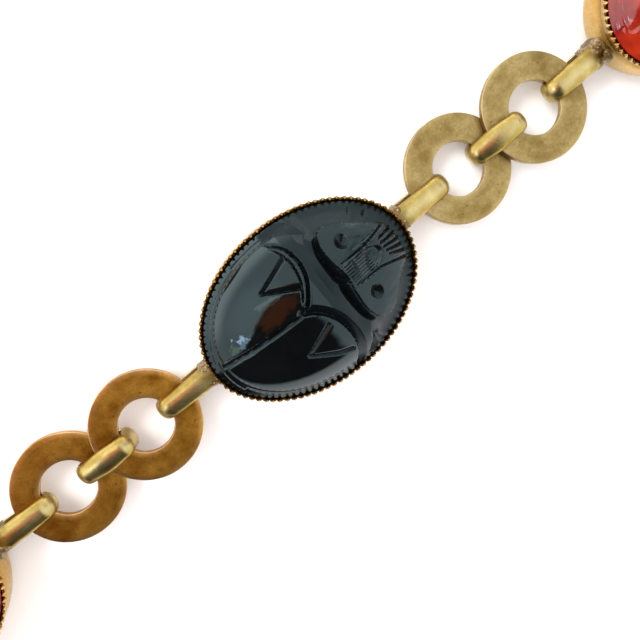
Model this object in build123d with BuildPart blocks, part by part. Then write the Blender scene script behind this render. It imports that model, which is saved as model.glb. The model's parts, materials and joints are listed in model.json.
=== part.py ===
from build123d import *

import math
import os
from collections import namedtuple

# Scarab bracelet: carved glass scarabs in brass settings, joined by pairs of flat rings, closed and lying flat.
# The origin is the centre of the first cup's flat back. +X runs along the chain towards that scarab's head,
# +Y points into the loop and +Z up out of the stones. Lengths are in millimetres and angles in degrees.

# Settings: a bowl-shaped cup under an upright bezel strip, whose lip is folded over the stone
setting_length = 13.7
setting_width = 9.86
bowl_height = 3.0
bowl_tuck = 1.35
bowl_floor = 1.35
strip_height = 0.85
strip_inset = 0.02
lip_height = 0.28
lip_lean = 0.34
bezel_wall = 0.25
seat_height = 3.25
seat_width = 0.3
stone_play = 0.04

# Stones
girdle_height = 3.75
dome_rise = 2.5
dome_share = 0.92
groove_width = 0.34
groove_depth = 0.3
plate_relief = 0.2
eye_diameter = 0.84
eye_depth = 0.22

# Half-round strip of the bails and of the oval links
bail_width = 1.2
link_width = 1.25
strip_thickness = 0.46
bail_play = 0.25
link_corner = 0.3
link_tilt = 12.0
rim_to_ring = 1.75
solder_to_ring = 0.65

# Flat rings, how far one laps over the other, and how they fall away from the bail
ring_diameter = 6.62
ring_bore = 3.25
ring_thickness = 0.5
ring_edge = 0.1
ring_lap = 0.82
ring_play = 0.07
ring_fall = 3.5

# Clasp: an oval link with a plain cover plate on it
cover_length = 6.6
cover_width = 4.4
cover_thickness = 0.7
cover_edge = 0.2

# Where the second setting and the last one before the clasp point, and how far the first ring pair is rolled
second_heading = 2.0
last_heading = 168.0
first_pair_roll = -5.0

Station = namedtuple("Station", "rise tuck")
Groove = namedtuple("Groove", "route width depth")
Spot = namedtuple("Spot", "x y heading")

# The bowl's wall from its flat back to the crease, as shares of bowl_height and bowl_tuck
bowl_stations = [
    Station(rise=0.0, tuck=1.0),
    Station(rise=0.12, tuck=0.52),
    Station(rise=0.28, tuck=0.2),
    Station(rise=0.48, tuck=0.08),
    Station(rise=0.76, tuck=0.07),
    Station(rise=1.0, tuck=0.13),
]

# Cut lines of the scarab, as shares of the stone's half length and half width, its head at +1.
# Width and depth are shares of groove_width and groove_depth.
seam = Groove(route=[(-0.90, 0.0), (-0.10, 0.0)], width=0.85, depth=1.0)
paired_grooves = [
    Groove(route=[(-0.10, 0.0), (0.05, 0.20), (0.112, 0.45), (0.09, 0.68), (0.0, 0.85)], width=1.0, depth=1.0),
    Groove(route=[(-0.32, 0.47), (0.03, 0.68)], width=0.6, depth=0.8),
    Groove(route=[(-0.32, 0.47), (-0.01, 0.28)], width=0.6, depth=0.8),
    Groove(route=[(0.30, 0.0), (0.285, 0.27), (0.30, 0.50), (0.35, 0.62)], width=1.2, depth=1.25),
    Groove(route=[(0.45, 0.15), (0.72, 0.165), (0.86, 0.25)], width=0.35, depth=0.5),
    Groove(route=[(0.74, 0.05), (0.88, 0.08)], width=0.35, depth=0.5),
    Groove(route=[(0.43, 0.06), (0.60, 0.06)], width=0.35, depth=0.5),
]

# The head plate's outline from the neck round to the front, and its eyes, both mirrored
plate_outline = [
    (0.34, 0.0),
    (0.33, 0.30),
    (0.36, 0.58),
    (0.47, 0.67),
    (0.62, 0.52),
    (0.76, 0.35),
    (0.88, 0.24),
    (0.915, 0.0),
]
plate_start = 0.30
border_share = 0.97
eye_along = 0.485
eye_across = 0.373

# Sizes that follow
setting_height = bowl_height + strip_height + lip_height
stone_length = setting_length - 2 * (bezel_wall + stone_play)
stone_width = setting_width - 2 * (bezel_wall + stone_play)
stone_base = bowl_floor + stone_play
dome_length = stone_length / dome_share
dome_width = stone_width / dome_share
dome_sink_share = math.sqrt(1 - dome_share**2)
dome_height = dome_rise / (1 - dome_sink_share)
ring_radius = ring_diameter / 2
bore_radius = ring_bore / 2
band_middle = (ring_radius + bore_radius) / 2
ring_pitch = ring_diameter - ring_lap
layer_step = ring_thickness + ring_play
ring_reach = setting_length / 2 + rim_to_ring + ring_radius
solder_end = setting_length / 2 + rim_to_ring - solder_to_ring
bail_gap = ring_thickness + 2 * bail_play

# The upper and lower ring of a pair share one bail height, so their two falls add up to one layer
hold_span = band_middle + ring_pitch / 2
low_slope = math.tan(math.radians(ring_fall))
high_slope = layer_step / hold_span - low_slope


def bore_edge(width: float) -> float:
    """How near the ring's centre the bore's wall comes at the sides of a strip this wide."""
    return math.sqrt(bore_radius**2 - (width / 2) ** 2)


def link_window() -> tuple[float, float]:
    """Half length and half height of the opening that holds both lapped bands, along the tilted link."""
    near, far = ring_pitch / 2 - bore_edge(link_width), ring_radius - ring_pitch / 2
    tilt = math.radians(link_tilt)
    half_length, half_height = 0.0, 0.0
    for start, end, slope, layer in ((-near, far, low_slope, -0.5), (-far, near, high_slope, 0.5)):
        for along in (start, end):
            for side in (-0.5, 0.5):
                up = layer * layer_step - slope * along + side * ring_thickness
                half_length = max(half_length, abs(along * math.cos(tilt) + up * math.sin(tilt)))
                half_height = max(half_height, abs(up * math.cos(tilt) - along * math.sin(tilt)))
    return half_length + ring_play, half_height + ring_play


window_length, window_height = link_window()
corner_radius = min(link_corner, 0.9 * window_height) + strip_thickness
corner_along = window_length + strip_thickness - corner_radius
corner_up = window_height + strip_thickness - corner_radius
link_height = (
    corner_along * math.sin(math.radians(link_tilt)) + corner_up * math.cos(math.radians(link_tilt)) + corner_radius
)
bail_height = link_height - layer_step / 2 + low_slope * hold_span


def ellipse_face(height: float, inset: float) -> Sketch:
    """The setting's outline drawn in by the inset, at a height."""
    with BuildSketch(Plane.XY.offset(height)) as face:
        Ellipse(setting_length / 2 - inset, setting_width / 2 - inset)
    return face.sketch


def dome(growth: float) -> Part:
    """The stone's dome over its girdle plane, grown all round by this much: the top of an ellipsoid."""
    with BuildPart() as whole:
        Sphere(1, rotation=(0, 90, 0))
        scale(by=(dome_length / 2 + growth, dome_width / 2 + growth, dome_height + growth))
    with BuildPart() as form:
        with Locations((0, 0, -dome_sink_share * dome_height)):
            add(whole.part)
        split(bisect_by=Plane.XY, keep=Keep.TOP)
    return form.part


def strip_section(start: Plane, width: float) -> Sketch:
    """A half-round strip's section, flat on its lower side, domed on its upper one."""
    half, rise = width / 2, strip_thickness / 2
    with BuildSketch(start) as section:
        with BuildLine():
            Line((-half, -rise), (half, -rise))
            ThreePointArc((half, -rise), (0, rise), (-half, -rise))
        make_face()
    return section.sketch


def bail() -> Part:
    """A strip bent to a U on its side, both limbs run into the cup's end and soldered there."""
    root = setting_length / 2 - bowl_tuck / 2
    bend = (bail_gap + strip_thickness) / 2
    nose = ring_reach - bore_edge(bail_width) + ring_play + strip_thickness / 2 - bend
    start = Plane(origin=(root, 0, bail_height + bend), x_dir=(0, 1, 0), z_dir=(1, 0, 0))
    section = strip_section(start, bail_width)
    with BuildPart() as form:
        with BuildLine(Plane.XZ) as path:
            Line((root, bail_height + bend), (nose, bail_height + bend))
            ThreePointArc((nose, bail_height + bend), (nose + bend, bail_height), (nose, bail_height - bend))
            Line((nose, bail_height - bend), (root, bail_height - bend))
        sweep(section, path=path.wires()[0])
        with BuildSketch(Plane.XY.offset(bail_height - bend)):
            with Locations(((root + solder_end) / 2, 0)):
                Rectangle(solder_end - root, bail_width)
        extrude(amount=2 * bend)
    return form.part


def carving(faces: Sketch, depth: float) -> Part:
    """What a cut of even depth under the dome takes away from it within these outlines."""
    floor = dome(-depth)
    with BuildPart() as cut:
        add(faces)
        extrude(amount=2 * dome_rise)
        add(floor, mode=Mode.SUBTRACT)
    return cut.part


def on_stone(share: tuple[float, float]) -> tuple[float, float]:
    """Plan position of a point given in shares of the stone's half sizes."""
    return share[0] * stone_length / 2, share[1] * stone_width / 2


def groove_faces(depth: float) -> Sketch:
    """All grooves of one depth share, the paired ones on both sides."""
    with BuildSketch() as faces:
        for groove in [seam] + paired_grooves:
            if groove.depth == depth:
                with BuildLine():
                    Spline([on_stone(share) for share in groove.route])
                trace(line_width=groove.width * groove_width)
        mirror(about=Plane.XZ)
    return faces.sketch


def border_faces() -> Sketch:
    """The lower ground round the head plate."""
    with BuildSketch() as faces:
        Ellipse(border_share * stone_length / 2, border_share * stone_width / 2)
        with Locations(((plate_start - 1) * stone_length / 2, 0)):
            Rectangle(stone_length, stone_width, mode=Mode.SUBTRACT)
        with BuildLine():
            edge = Spline([on_stone(share) for share in plate_outline])
            mirror(edge, about=Plane.XZ)
        make_face(mode=Mode.SUBTRACT)
    return faces.sketch


def eye_faces() -> Sketch:
    """The two eyes."""
    with BuildSketch() as faces:
        with Locations(on_stone((eye_along, eye_across)), on_stone((eye_along, -eye_across))):
            Circle(eye_diameter / 2)
    return faces.sketch


def scarab_stone() -> Part:
    """Carved cabochon: a foot in the cup, a girdle on the seat, and the dome with the scarab cut into it."""
    crown = dome(0)
    cuts = [carving(groove_faces(share), share * groove_depth) for share in sorted({g.depth for g in paired_grooves})]
    cuts.append(carving(border_faces(), plate_relief))
    cuts.append(carving(eye_faces(), eye_depth))
    with BuildPart() as form:
        add(crown)
        for cut in cuts:
            add(cut, mode=Mode.SUBTRACT)
        with BuildSketch():
            Ellipse(stone_length / 2, stone_width / 2)
        extrude(amount=seat_height + stone_play - girdle_height)
        with BuildSketch():
            Ellipse(stone_length / 2 - seat_width, stone_width / 2 - seat_width)
        extrude(amount=stone_base - girdle_height)
    return form.part


def setting() -> Part:
    """Cup, bezel strip, folded lip and both bails, soldered into one solid, with room for the stone."""
    bowl = [ellipse_face(s.rise * bowl_height, s.tuck * bowl_tuck) for s in bowl_stations]
    strip_top = bowl_height + strip_height
    strip = ellipse_face(bowl_height, strip_inset)
    lip = [ellipse_face(strip_top, strip_inset), ellipse_face(setting_height, lip_lean)]
    room = dome(stone_play)
    end = bail()
    with BuildPart() as form:
        loft(bowl)
        add(strip)
        extrude(amount=strip_height)
        loft(lip)
        add(end)
        mirror(end, about=Plane.YZ)
        with Locations((0, 0, girdle_height)):
            add(room, mode=Mode.SUBTRACT)
        for floor, wall in ((seat_height, bezel_wall), (bowl_floor, bezel_wall + seat_width)):
            with BuildSketch(Plane.XY.offset(floor)):
                Ellipse(setting_length / 2 - wall, setting_width / 2 - wall)
            extrude(amount=girdle_height - floor, mode=Mode.SUBTRACT)
    return form.part


def flat_ring() -> Part:
    """A washer with worn edges."""
    with BuildPart() as form:
        Cylinder(ring_radius, ring_thickness)
        Cylinder(bore_radius, ring_thickness, mode=Mode.SUBTRACT)
        fillet(form.edges(), radius=min(ring_edge, 0.4 * ring_thickness))
    return form.part


def oval_link() -> Part:
    """A strip bent into a closed loop round both bands, about its own centre, with its front end tilted up."""
    bend = corner_radius - strip_thickness / 2
    side = corner_along + bend
    top = corner_up + bend
    section = strip_section(Plane(origin=(0, 0, top), x_dir=(0, 1, 0), z_dir=(1, 0, 0)), link_width)
    with BuildPart() as level:
        with BuildLine(Plane.XZ) as path:
            FilletPolyline((0, top), (side, top), (side, -top), (0, -top), radius=bend)
        sweep(section, path=path.wires()[0])
        mirror(about=Plane.YZ)
    with BuildPart() as form:
        with Locations(Location((0, 0, 0), (0, -link_tilt, 0))):
            add(level.part)
    return form.part


def clasp_piece() -> Part:
    """An oval link under a plain oval cover plate, one piece."""
    loop = oval_link()
    with BuildPart() as form:
        add(loop)
        with BuildSketch(Plane.XY.offset(window_height + strip_thickness / 2)):
            Ellipse(cover_length / 2, cover_width / 2)
        extrude(amount=cover_thickness)
        fillet(form.faces().sort_by(Axis.Z)[-1].edges(), radius=cover_edge)
    return form.part


def headings_for(turn: float) -> list[float]:
    """Where each setting and each pair after it points, all round, for one turn of the third setting."""
    half = [0.0, 0.0, second_heading, (second_heading + turn) / 2, turn, (turn + last_heading) / 2, last_heading]
    return half + [180.0] + [360.0 - heading for heading in reversed(half[1:])]


def half_loop_end(turn: float) -> float:
    """How far along X the clasp's middle lies; it is 0 where the loop closes."""
    along = ring_reach - ring_pitch / 2
    for number, heading in enumerate(headings_for(turn)[1:7]):
        step = ring_pitch if number % 2 == 0 else 2 * ring_reach
        along += step * math.cos(math.radians(heading))
    return along


def closing_turn() -> float:
    """The third setting's heading that closes the loop, found by halving the range."""
    low, high = 90.0, last_heading
    for _ in range(50):
        middle = (low + high) / 2
        if half_loop_end(middle) > 0:
            low = middle
        else:
            high = middle
    return (low + high) / 2


def walk() -> tuple[list[Spot], list[Spot]]:
    """Centres and headings of the settings and of the ring pairs, once round the loop."""
    headings = headings_for(closing_turn())
    x, y = -ring_reach, 0.0
    settings, pairs = [], []
    for number, heading in enumerate(headings):
        step = ring_reach if number % 2 == 0 else ring_pitch / 2
        across, up = step * math.cos(math.radians(heading)), step * math.sin(math.radians(heading))
        (settings if number % 2 == 0 else pairs).append(Spot(x + across, y + up, heading))
        x, y = x + 2 * across, y + 2 * up
    return settings, pairs


def ring_place(pair: Spot, end: int, setting_heading: float, roll: float) -> Plane:
    """Plane of one ring of a pair, end -1 the lower one before the link and +1 the upper one after it."""
    along = Vector(1, 0, 0).rotate(Axis.Z, pair.heading)
    to_bail = end * Vector(1, 0, 0).rotate(Axis.Z, setting_heading)
    to_link = -end * along
    slope = low_slope if end < 0 else -high_slope
    lean = (to_bail - to_link) * (slope / (1 - to_bail.dot(to_link)))
    lean += Vector(0, 1, 0).rotate(Axis.Z, pair.heading) * math.tan(math.radians(roll))
    middle = Vector(pair.x, pair.y, 0) + along * (end * ring_pitch / 2)
    height = bail_height - slope * band_middle
    return Plane(
        origin=(middle.X, middle.Y, height),
        x_dir=(to_bail.X, to_bail.Y, to_bail.dot(lean)),
        z_dir=(-lean.X, -lean.Y, 1),
    )


def finish(form: BuildPart, name: str) -> None:
    """Label a finished piece and write it."""
    form.part.label = name
    export_step(form.part, f"parts/{name}.step")


os.makedirs("parts", exist_ok=True)
setting_form = setting()
stone_form = scarab_stone()
ring_form = flat_ring()
link_form = oval_link()
clasp_form = clasp_piece()
setting_spots, pair_spots = walk()
clasp_pair = len(pair_spots) // 2 + 1

for number, spot in enumerate(setting_spots, start=1):
    cup = Location((spot.x, spot.y, 0), (0, 0, spot.heading))
    with BuildPart() as setting_part:
        with Locations(cup):
            add(setting_form)
    finish(setting_part, f"setting_{number}")

    with BuildPart() as stone_part:
        with Locations(cup * Location((0, 0, girdle_height))):
            add(stone_form)
    finish(stone_part, f"scarab_stone_{number}")

for number, pair in enumerate(pair_spots, start=1):
    roll = first_pair_roll if number == 1 else 0.0
    before = setting_spots[number - 1].heading
    after = setting_spots[number % len(setting_spots)].heading
    for end, setting_heading, label in ((-1, before, "lower"), (1, after, "upper")):
        with BuildPart() as ring_part:
            with Locations(ring_place(pair, end, setting_heading, roll).location):
                add(ring_form)
        finish(ring_part, f"{label}_ring_{number}")

    is_clasp = number == clasp_pair
    level_spot = Location((pair.x, pair.y, link_height), (0, 0, pair.heading))
    with BuildPart() as link_part:
        with Locations(level_spot * Location((0, 0, 0), (roll, 0, 0))):
            add(clasp_form if is_clasp else link_form)
    finish(link_part, "clasp" if is_clasp else f"oval_link_{number}")
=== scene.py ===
"""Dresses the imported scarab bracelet: carved scarabs, saw-toothed cups, bails, flat rings and oval links.

Shapes are worked out in millimetres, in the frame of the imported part, and written to the meshes in metres.
"""

import json
import logging
import math
from dataclasses import dataclass, field, replace
from enum import Enum

import bpy
import numpy as np
from mathutils import Matrix, Vector


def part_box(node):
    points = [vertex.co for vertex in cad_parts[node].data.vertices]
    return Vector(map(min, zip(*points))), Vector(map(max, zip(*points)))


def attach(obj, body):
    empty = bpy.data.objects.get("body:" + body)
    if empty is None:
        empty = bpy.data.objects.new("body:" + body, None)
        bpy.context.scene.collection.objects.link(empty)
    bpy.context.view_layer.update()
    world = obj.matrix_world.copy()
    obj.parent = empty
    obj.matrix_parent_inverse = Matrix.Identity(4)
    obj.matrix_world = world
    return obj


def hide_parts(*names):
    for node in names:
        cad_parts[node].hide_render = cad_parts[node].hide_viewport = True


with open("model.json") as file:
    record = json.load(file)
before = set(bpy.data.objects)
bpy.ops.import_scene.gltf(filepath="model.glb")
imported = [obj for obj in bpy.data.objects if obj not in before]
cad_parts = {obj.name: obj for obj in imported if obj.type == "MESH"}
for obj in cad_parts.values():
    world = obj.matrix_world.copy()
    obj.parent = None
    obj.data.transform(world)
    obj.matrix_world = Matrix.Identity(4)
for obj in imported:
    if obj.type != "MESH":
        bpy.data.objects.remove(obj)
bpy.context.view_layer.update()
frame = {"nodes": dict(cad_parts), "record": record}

Pair = tuple[float, float]
Triple = tuple[float, float, float]
Route = tuple[Pair, ...]

MM = 0.001
UP = np.array([0.0, 0.0, 1.0])
log = logging.getLogger("bracelet")


class Glass(Enum):
    """The two colours of glass in the bracelet, by the record's material slot."""

    BLACK = "black_glass"
    CARNELIAN = "carnelian_glass"


class Tone(Enum):
    """The two tones that the flat rings have aged to, by the record's material slot."""

    OLIVE = "olive_ring_brass"
    RED = "red_ring_brass"


def linear(hex_colour: str) -> tuple[float, float, float, float]:
    """Turn an sRGB hex colour to a linear colour with full alpha.

    Args:
        hex_colour: Six hex digits after a hash sign.

    Returns:
        Red, green, blue and alpha, as a shader's socket takes them.
    """
    shares = [int(hex_colour[i : i + 2], 16) / 255 for i in (1, 3, 5)]
    red, green, blue = [s / 12.92 if s <= 0.04045 else ((s + 0.055) / 1.055) ** 2.4 for s in shares]
    return red, green, blue, 1.0


def feed(tree: bpy.types.NodeTree, node: bpy.types.Node, inputs: dict) -> None:
    """Give each named or numbered input of a node a value or another node's output."""
    for key, value in inputs.items():
        if isinstance(value, bpy.types.NodeSocket):
            tree.links.new(value, node.inputs[key])
        else:
            node.inputs[key].default_value = value


def add_node(
    tree: bpy.types.NodeTree, kind: str, settings: dict | None = None, inputs: dict | None = None
) -> bpy.types.Node:
    """Add a node with its settings and links.

    Args:
        tree: The material's node tree.
        kind: The node's type name.
        settings: Values of the node's own properties.
        inputs: For each input, by name or place, a value or another node's output.

    Returns:
        The new node.
    """
    node = tree.nodes.new(kind)
    for key, value in (settings or {}).items():
        setattr(node, key, value)
    feed(tree, node, inputs or {})
    return node


def rise(value: np.ndarray, start: np.ndarray | float = 0.0, span: np.ndarray | float = 1.0) -> np.ndarray:
    """Go from 0 at the start to 1 after the span, with level ends: 3 t squared less 2 t cubed."""
    share = np.clip((value - start) / span, 0, 1)
    return share * share * (3 - 2 * share)


def hump(value: np.ndarray, middle: np.ndarray | float, width: float) -> np.ndarray:
    """A bell curve, 1 at the middle: e to minus the square of the distance from it over the width."""
    return np.exp(-(((value - middle) / width) ** 2))


def waves(seed: int, size: float, x: np.ndarray, y: np.ndarray, z: np.ndarray) -> np.ndarray:
    """A soft lumpy field between about -1 and 1: the mean of sine waves of one length in random directions.

    Args:
        seed: Seed of the directions and phases.
        size: Length of each wave, in the unit of the coordinates.
        x: First coordinate of the points.
        y: Second coordinate.
        z: Third coordinate.

    Returns:
        The field's value at each point.
    """
    random = np.random.default_rng(seed)
    count = 7
    fill = 1.6
    directions = random.normal(size=(count, 3))
    directions *= (2 * math.pi / size) / np.linalg.norm(directions, axis=1, keepdims=True)
    phases = random.uniform(0, 2 * math.pi, count)
    return sum(np.sin(x * d[0] + y * d[1] + z * d[2] + p) for d, p in zip(directions, phases)) * fill / count


def curve_through(points: np.ndarray | Route, per_span: int) -> np.ndarray:
    """Sample a smooth open curve that passes through its points.

    Each span is a Catmull-Rom cubic of the four points about it. The curve runs on straight past its ends.

    Args:
        points: The points, one row each.
        per_span: How many samples each span gets.

    Returns:
        The sampled points, the last one included.
    """
    points = np.asarray(points, float)
    wide = np.vstack([2 * points[0] - points[1], points, 2 * points[-1] - points[-2]])
    share = np.linspace(0, 1, per_span, endpoint=False)[:, None]
    a, b, c, d = (wide[i : len(wide) - 3 + i, None, :] for i in range(4))
    bend, twist = 2 * a - 5 * b + 4 * c - d, 3 * b - a - 3 * c + d
    span = 0.5 * (2 * b + (c - a) * share + bend * share**2 + twist * share**3)
    return np.vstack([span.reshape(-1, points.shape[1]), points[-1]])


class Skin:
    """The vertices and faces of one piece, gathered from closed surfaces, with two marks at each vertex."""

    def __init__(self) -> None:
        """Start with nothing in it."""
        self.points: list[np.ndarray] = []
        self.faces: list[list[int]] = []
        self.marks: dict[str, list[np.ndarray]] = {"wear": [], "grime_and_shade": []}
        self.count = 0

    def add(self, points: np.ndarray, faces: list[np.ndarray], wear: np.ndarray, grime_and_shade: np.ndarray) -> None:
        """Add points, and the faces between them.

        Args:
            points: One row for each point.
            faces: Blocks of faces with as many corners each, as places in the points.
            wear: How rubbed bright each point is, 0 to 1.
            grime_and_shade: How dark each point is, 0 to 1: dirt and stains on some pieces, painted shade on
                the cups.
        """
        for block in faces:
            self.faces += (block + self.count).tolist()
        self.points.append(points)
        self.marks["wear"].append(wear)
        self.marks["grime_and_shade"].append(grime_and_shade)
        self.count += len(points)

    def add_closed(
        self,
        grid: np.ndarray,
        wear: np.ndarray | float = 0.0,
        grime_and_shade: np.ndarray | float = 0.0,
        tube: bool = False,
    ) -> None:
        """Add a closed surface from a grid whose columns run round and meet.

        Its faces are turned outwards by the sign of the volume that they enclose.

        Args:
            grid: Points, rows by columns by three.
            wear: How rubbed bright each point is, or each row.
            grime_and_shade: How dark each point is, or each row: dirt and stains on some pieces, painted
                shade on the cups.
            tube: Whether the rows meet too. If not, a cap closes the first and the last row.
        """
        rows, columns = grid.shape[:2]
        index = np.arange(rows * columns).reshape(rows, columns)
        lower = index if tube else index[:-1]
        upper = np.roll(index, -1, axis=0) if tube else index[1:]
        quads = np.stack([lower, np.roll(lower, -1, 1), np.roll(upper, -1, 1), upper], -1).reshape(-1, 4)
        faces = [quads] if tube else [quads, index[:1, ::-1], index[-1:]]
        flat = grid.reshape(-1, 3)
        about = flat - flat.mean(0)
        a, b, c, d = (about[quads[:, i]] for i in range(4))
        volume = np.einsum("ij,ij->", np.cross(a, b), c) + np.einsum("ij,ij->", np.cross(a, c), d)
        if volume < 0:
            faces = [block[:, ::-1] for block in faces]
        self.add(flat, faces, *(np.broadcast_to(mark, (rows, columns)).ravel() for mark in (wear, grime_and_shade)))

    def piece(
        self,
        name: str,
        place: np.ndarray,
        material: bpy.types.Material,
        slot: str,
        node: str,
        crease: float,
    ) -> bpy.types.Object:
        """Make the piece in its place, dress it, and let it ride and stand for its node.

        Args:
            name: The piece's name.
            place: The four by four matrix that puts it in the part's frame, in millimetres.
            material: Its finish.
            slot: The record's material slot; not used.
            node: The node that it stands for.
            crease: The angle in degrees past which an edge stays sharp.

        Returns:
            The new object.
        """
        points = np.vstack(self.points) @ place[:3, :3].T + place[:3, 3]
        mesh = bpy.data.meshes.new(name)
        mesh.from_pydata((points * MM).tolist(), [], self.faces)
        for mark, values in self.marks.items():
            layer = mesh.attributes.new(mark, "FLOAT", "POINT")
            layer.data.foreach_set("value", np.concatenate(values).astype(np.float32))
        mesh.shade_smooth()
        mesh.set_sharp_from_angle(angle=math.radians(crease))
        mesh.materials.append(material)
        made = bpy.data.objects.new(name, mesh)
        bpy.context.scene.collection.objects.link(made)
        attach(made, "root")
        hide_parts(node)
        log.info("%s stands for %s", name, node)
        return made


@dataclass(frozen=True)
class Coat:
    """A colour that covers the ones under it by how strong a pattern is.

    Its cover goes from nothing where the pattern is at `low` to `most` where it is at `high`.
    """

    pattern: str
    low: float
    high: float
    colour: str
    most: float = 1.0


class Recipe:
    """A material in the making, with noises on the object's own coordinates and the skin's two marks."""

    def __init__(self, name: str, **noises: Triple) -> None:
        """Start the material with its patterns.

        Args:
            name: Its name.
            noises: Each noise's feature size in millimetres, its detail and its roughness.
        """
        self.material = bpy.data.materials.new(name)
        self.material.use_nodes = True
        self.tree = self.material.node_tree
        self.patterns: dict[str, bpy.types.NodeSocket] = {}
        place = add_node(self.tree, "ShaderNodeTexCoord").outputs["Object"]
        for noise, (size, detail, roughness) in noises.items():
            inputs = {"Vector": place, "Scale": 1 / (size * MM), "Detail": detail, "Roughness": roughness}
            self.patterns[noise] = add_node(self.tree, "ShaderNodeTexNoise", inputs=inputs).outputs["Fac"]
        for mark in ("wear", "grime_and_shade"):
            layer = add_node(self.tree, "ShaderNodeAttribute", {"attribute_name": mark})
            self.patterns[mark] = layer.outputs["Fac"]

    def coated(self, base: str, *coats: Coat) -> bpy.types.NodeSocket:
        """Lay coats of colour over a base colour.

        Args:
            base: The colour where no coat covers.
            coats: The coats, the lowest first.

        Returns:
            The colour that is seen.
        """
        seen = linear(base)
        for coat in coats:
            reach = {0: self.patterns[coat.pattern], 1: coat.low, 2: coat.high, 4: coat.most}
            cover = add_node(self.tree, "ShaderNodeMapRange", inputs=reach).outputs[0]
            layers = {0: cover, 6: seen, 7: linear(coat.colour)}
            seen = add_node(self.tree, "ShaderNodeMix", {"data_type": "RGBA"}, layers).outputs[2]
        return seen

    def finished(self, inputs: dict) -> bpy.types.Material:
        """Feed the shader its inputs, and give the material out."""
        feed(self.tree, self.tree.nodes["Principled BSDF"], inputs)
        return self.material


@dataclass(frozen=True)
class AgedBrass:
    """Sheet or strip brass that has darkened with wear: mottled tarnish, grain, pits and rubbed bright edges.

    The blotches of tarnish are a few times wider than the pits. The grain of the rubbed metal is drawn
    coarser than it is, so that it shows.
    """

    name: str
    colour: str
    deep: str
    pit: str
    rubbed: str
    roughness: Pair
    mottle: float = 1.7
    grain: float = 0.16
    pit_size: float = 0.42
    pit_level: float = 0.68
    pit_edge: float = 0.07
    grain_depth: float = 0.006
    grain_range: Pair = (0.3, 0.7)
    # dark colour of the grime_and_shade mark: a stain near the bails' roots, painted shade on the cups
    dirt_and_shade: str = "#1c1408"

    def material(self) -> bpy.types.Material:
        """Build the finish from three noises and the two marks."""
        noises = {"blotch": (self.mottle, 8.0, 0.7), "grain": (self.grain, 3.0, 0.6)}
        recipe = Recipe(self.name, **noises, speck=(self.pit_size, 2.0, 0.7))
        colour = recipe.coated(
            self.colour,
            Coat("blotch", 0.38, 0.62, self.deep),
            Coat("grain", *self.grain_range, self.deep, most=0.5),
            Coat("speck", self.pit_level, self.pit_level + self.pit_edge, self.pit, most=0.85),
            Coat("wear", 0.0, 1.0, self.rubbed),
            # a real stain on the bails, painted shade in the cups' creases, notches and insides
            Coat("grime_and_shade", 0.0, 1.0, self.dirt_and_shade),
        )
        grain = recipe.patterns["grain"]
        low, high = self.grain_range
        least, most = self.roughness
        spread = {0: grain, 1: low, 2: high, 3: least, 4: most}
        satin = add_node(recipe.tree, "ShaderNodeMapRange", inputs=spread)
        relief = {"Height": grain, "Distance": self.grain_depth * MM, "Strength": 1.0}
        bump = add_node(recipe.tree, "ShaderNodeBump", inputs=relief)
        return recipe.finished(
            {"Metallic": 1.0, "Base Color": colour, "Roughness": satin.outputs[0], "Normal": bump.outputs[0]}
        )


@dataclass(frozen=True)
class SoftSolder:
    """Lead-tin solder run round the bails by hand: dull grey, pitted, browned and greened by its flux."""

    name: str = "hand_run_solder"
    grey: str = "#9c8f6f"
    brown: str = "#6e532b"
    green: str = "#2f4a3a"
    pale: str = "#e0d4b4"
    lump: float = 0.55
    pit: float = 0.13
    pit_depth: float = 0.03
    shine: float = 0.75
    roughness: float = 0.42

    def material(self) -> bpy.types.Material:
        """Build the finish from two noises and the grime_and_shade mark, which is verdigris here: pits are
        brown, their rims pale.
        """
        recipe = Recipe(self.name, lump=(self.lump, 4.0, 0.65), pits=(self.pit, 4.0, 0.7))
        colour = recipe.coated(
            self.brown,
            Coat("lump", 0.42, 0.6, self.grey),
            Coat("pits", 0.58, 0.68, self.pale),
            Coat("pits", 0.5, 0.38, self.brown),
            Coat("grime_and_shade", 0.0, 1.0, self.green),
        )
        relief = {"Height": recipe.patterns["pits"], "Distance": self.pit_depth * MM, "Strength": 1.0}
        bump = add_node(recipe.tree, "ShaderNodeBump", inputs=relief)
        plain = {"Metallic": self.shine, "Roughness": self.roughness}
        return recipe.finished({**plain, "Base Color": colour, "Normal": bump.outputs[0]})


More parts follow.
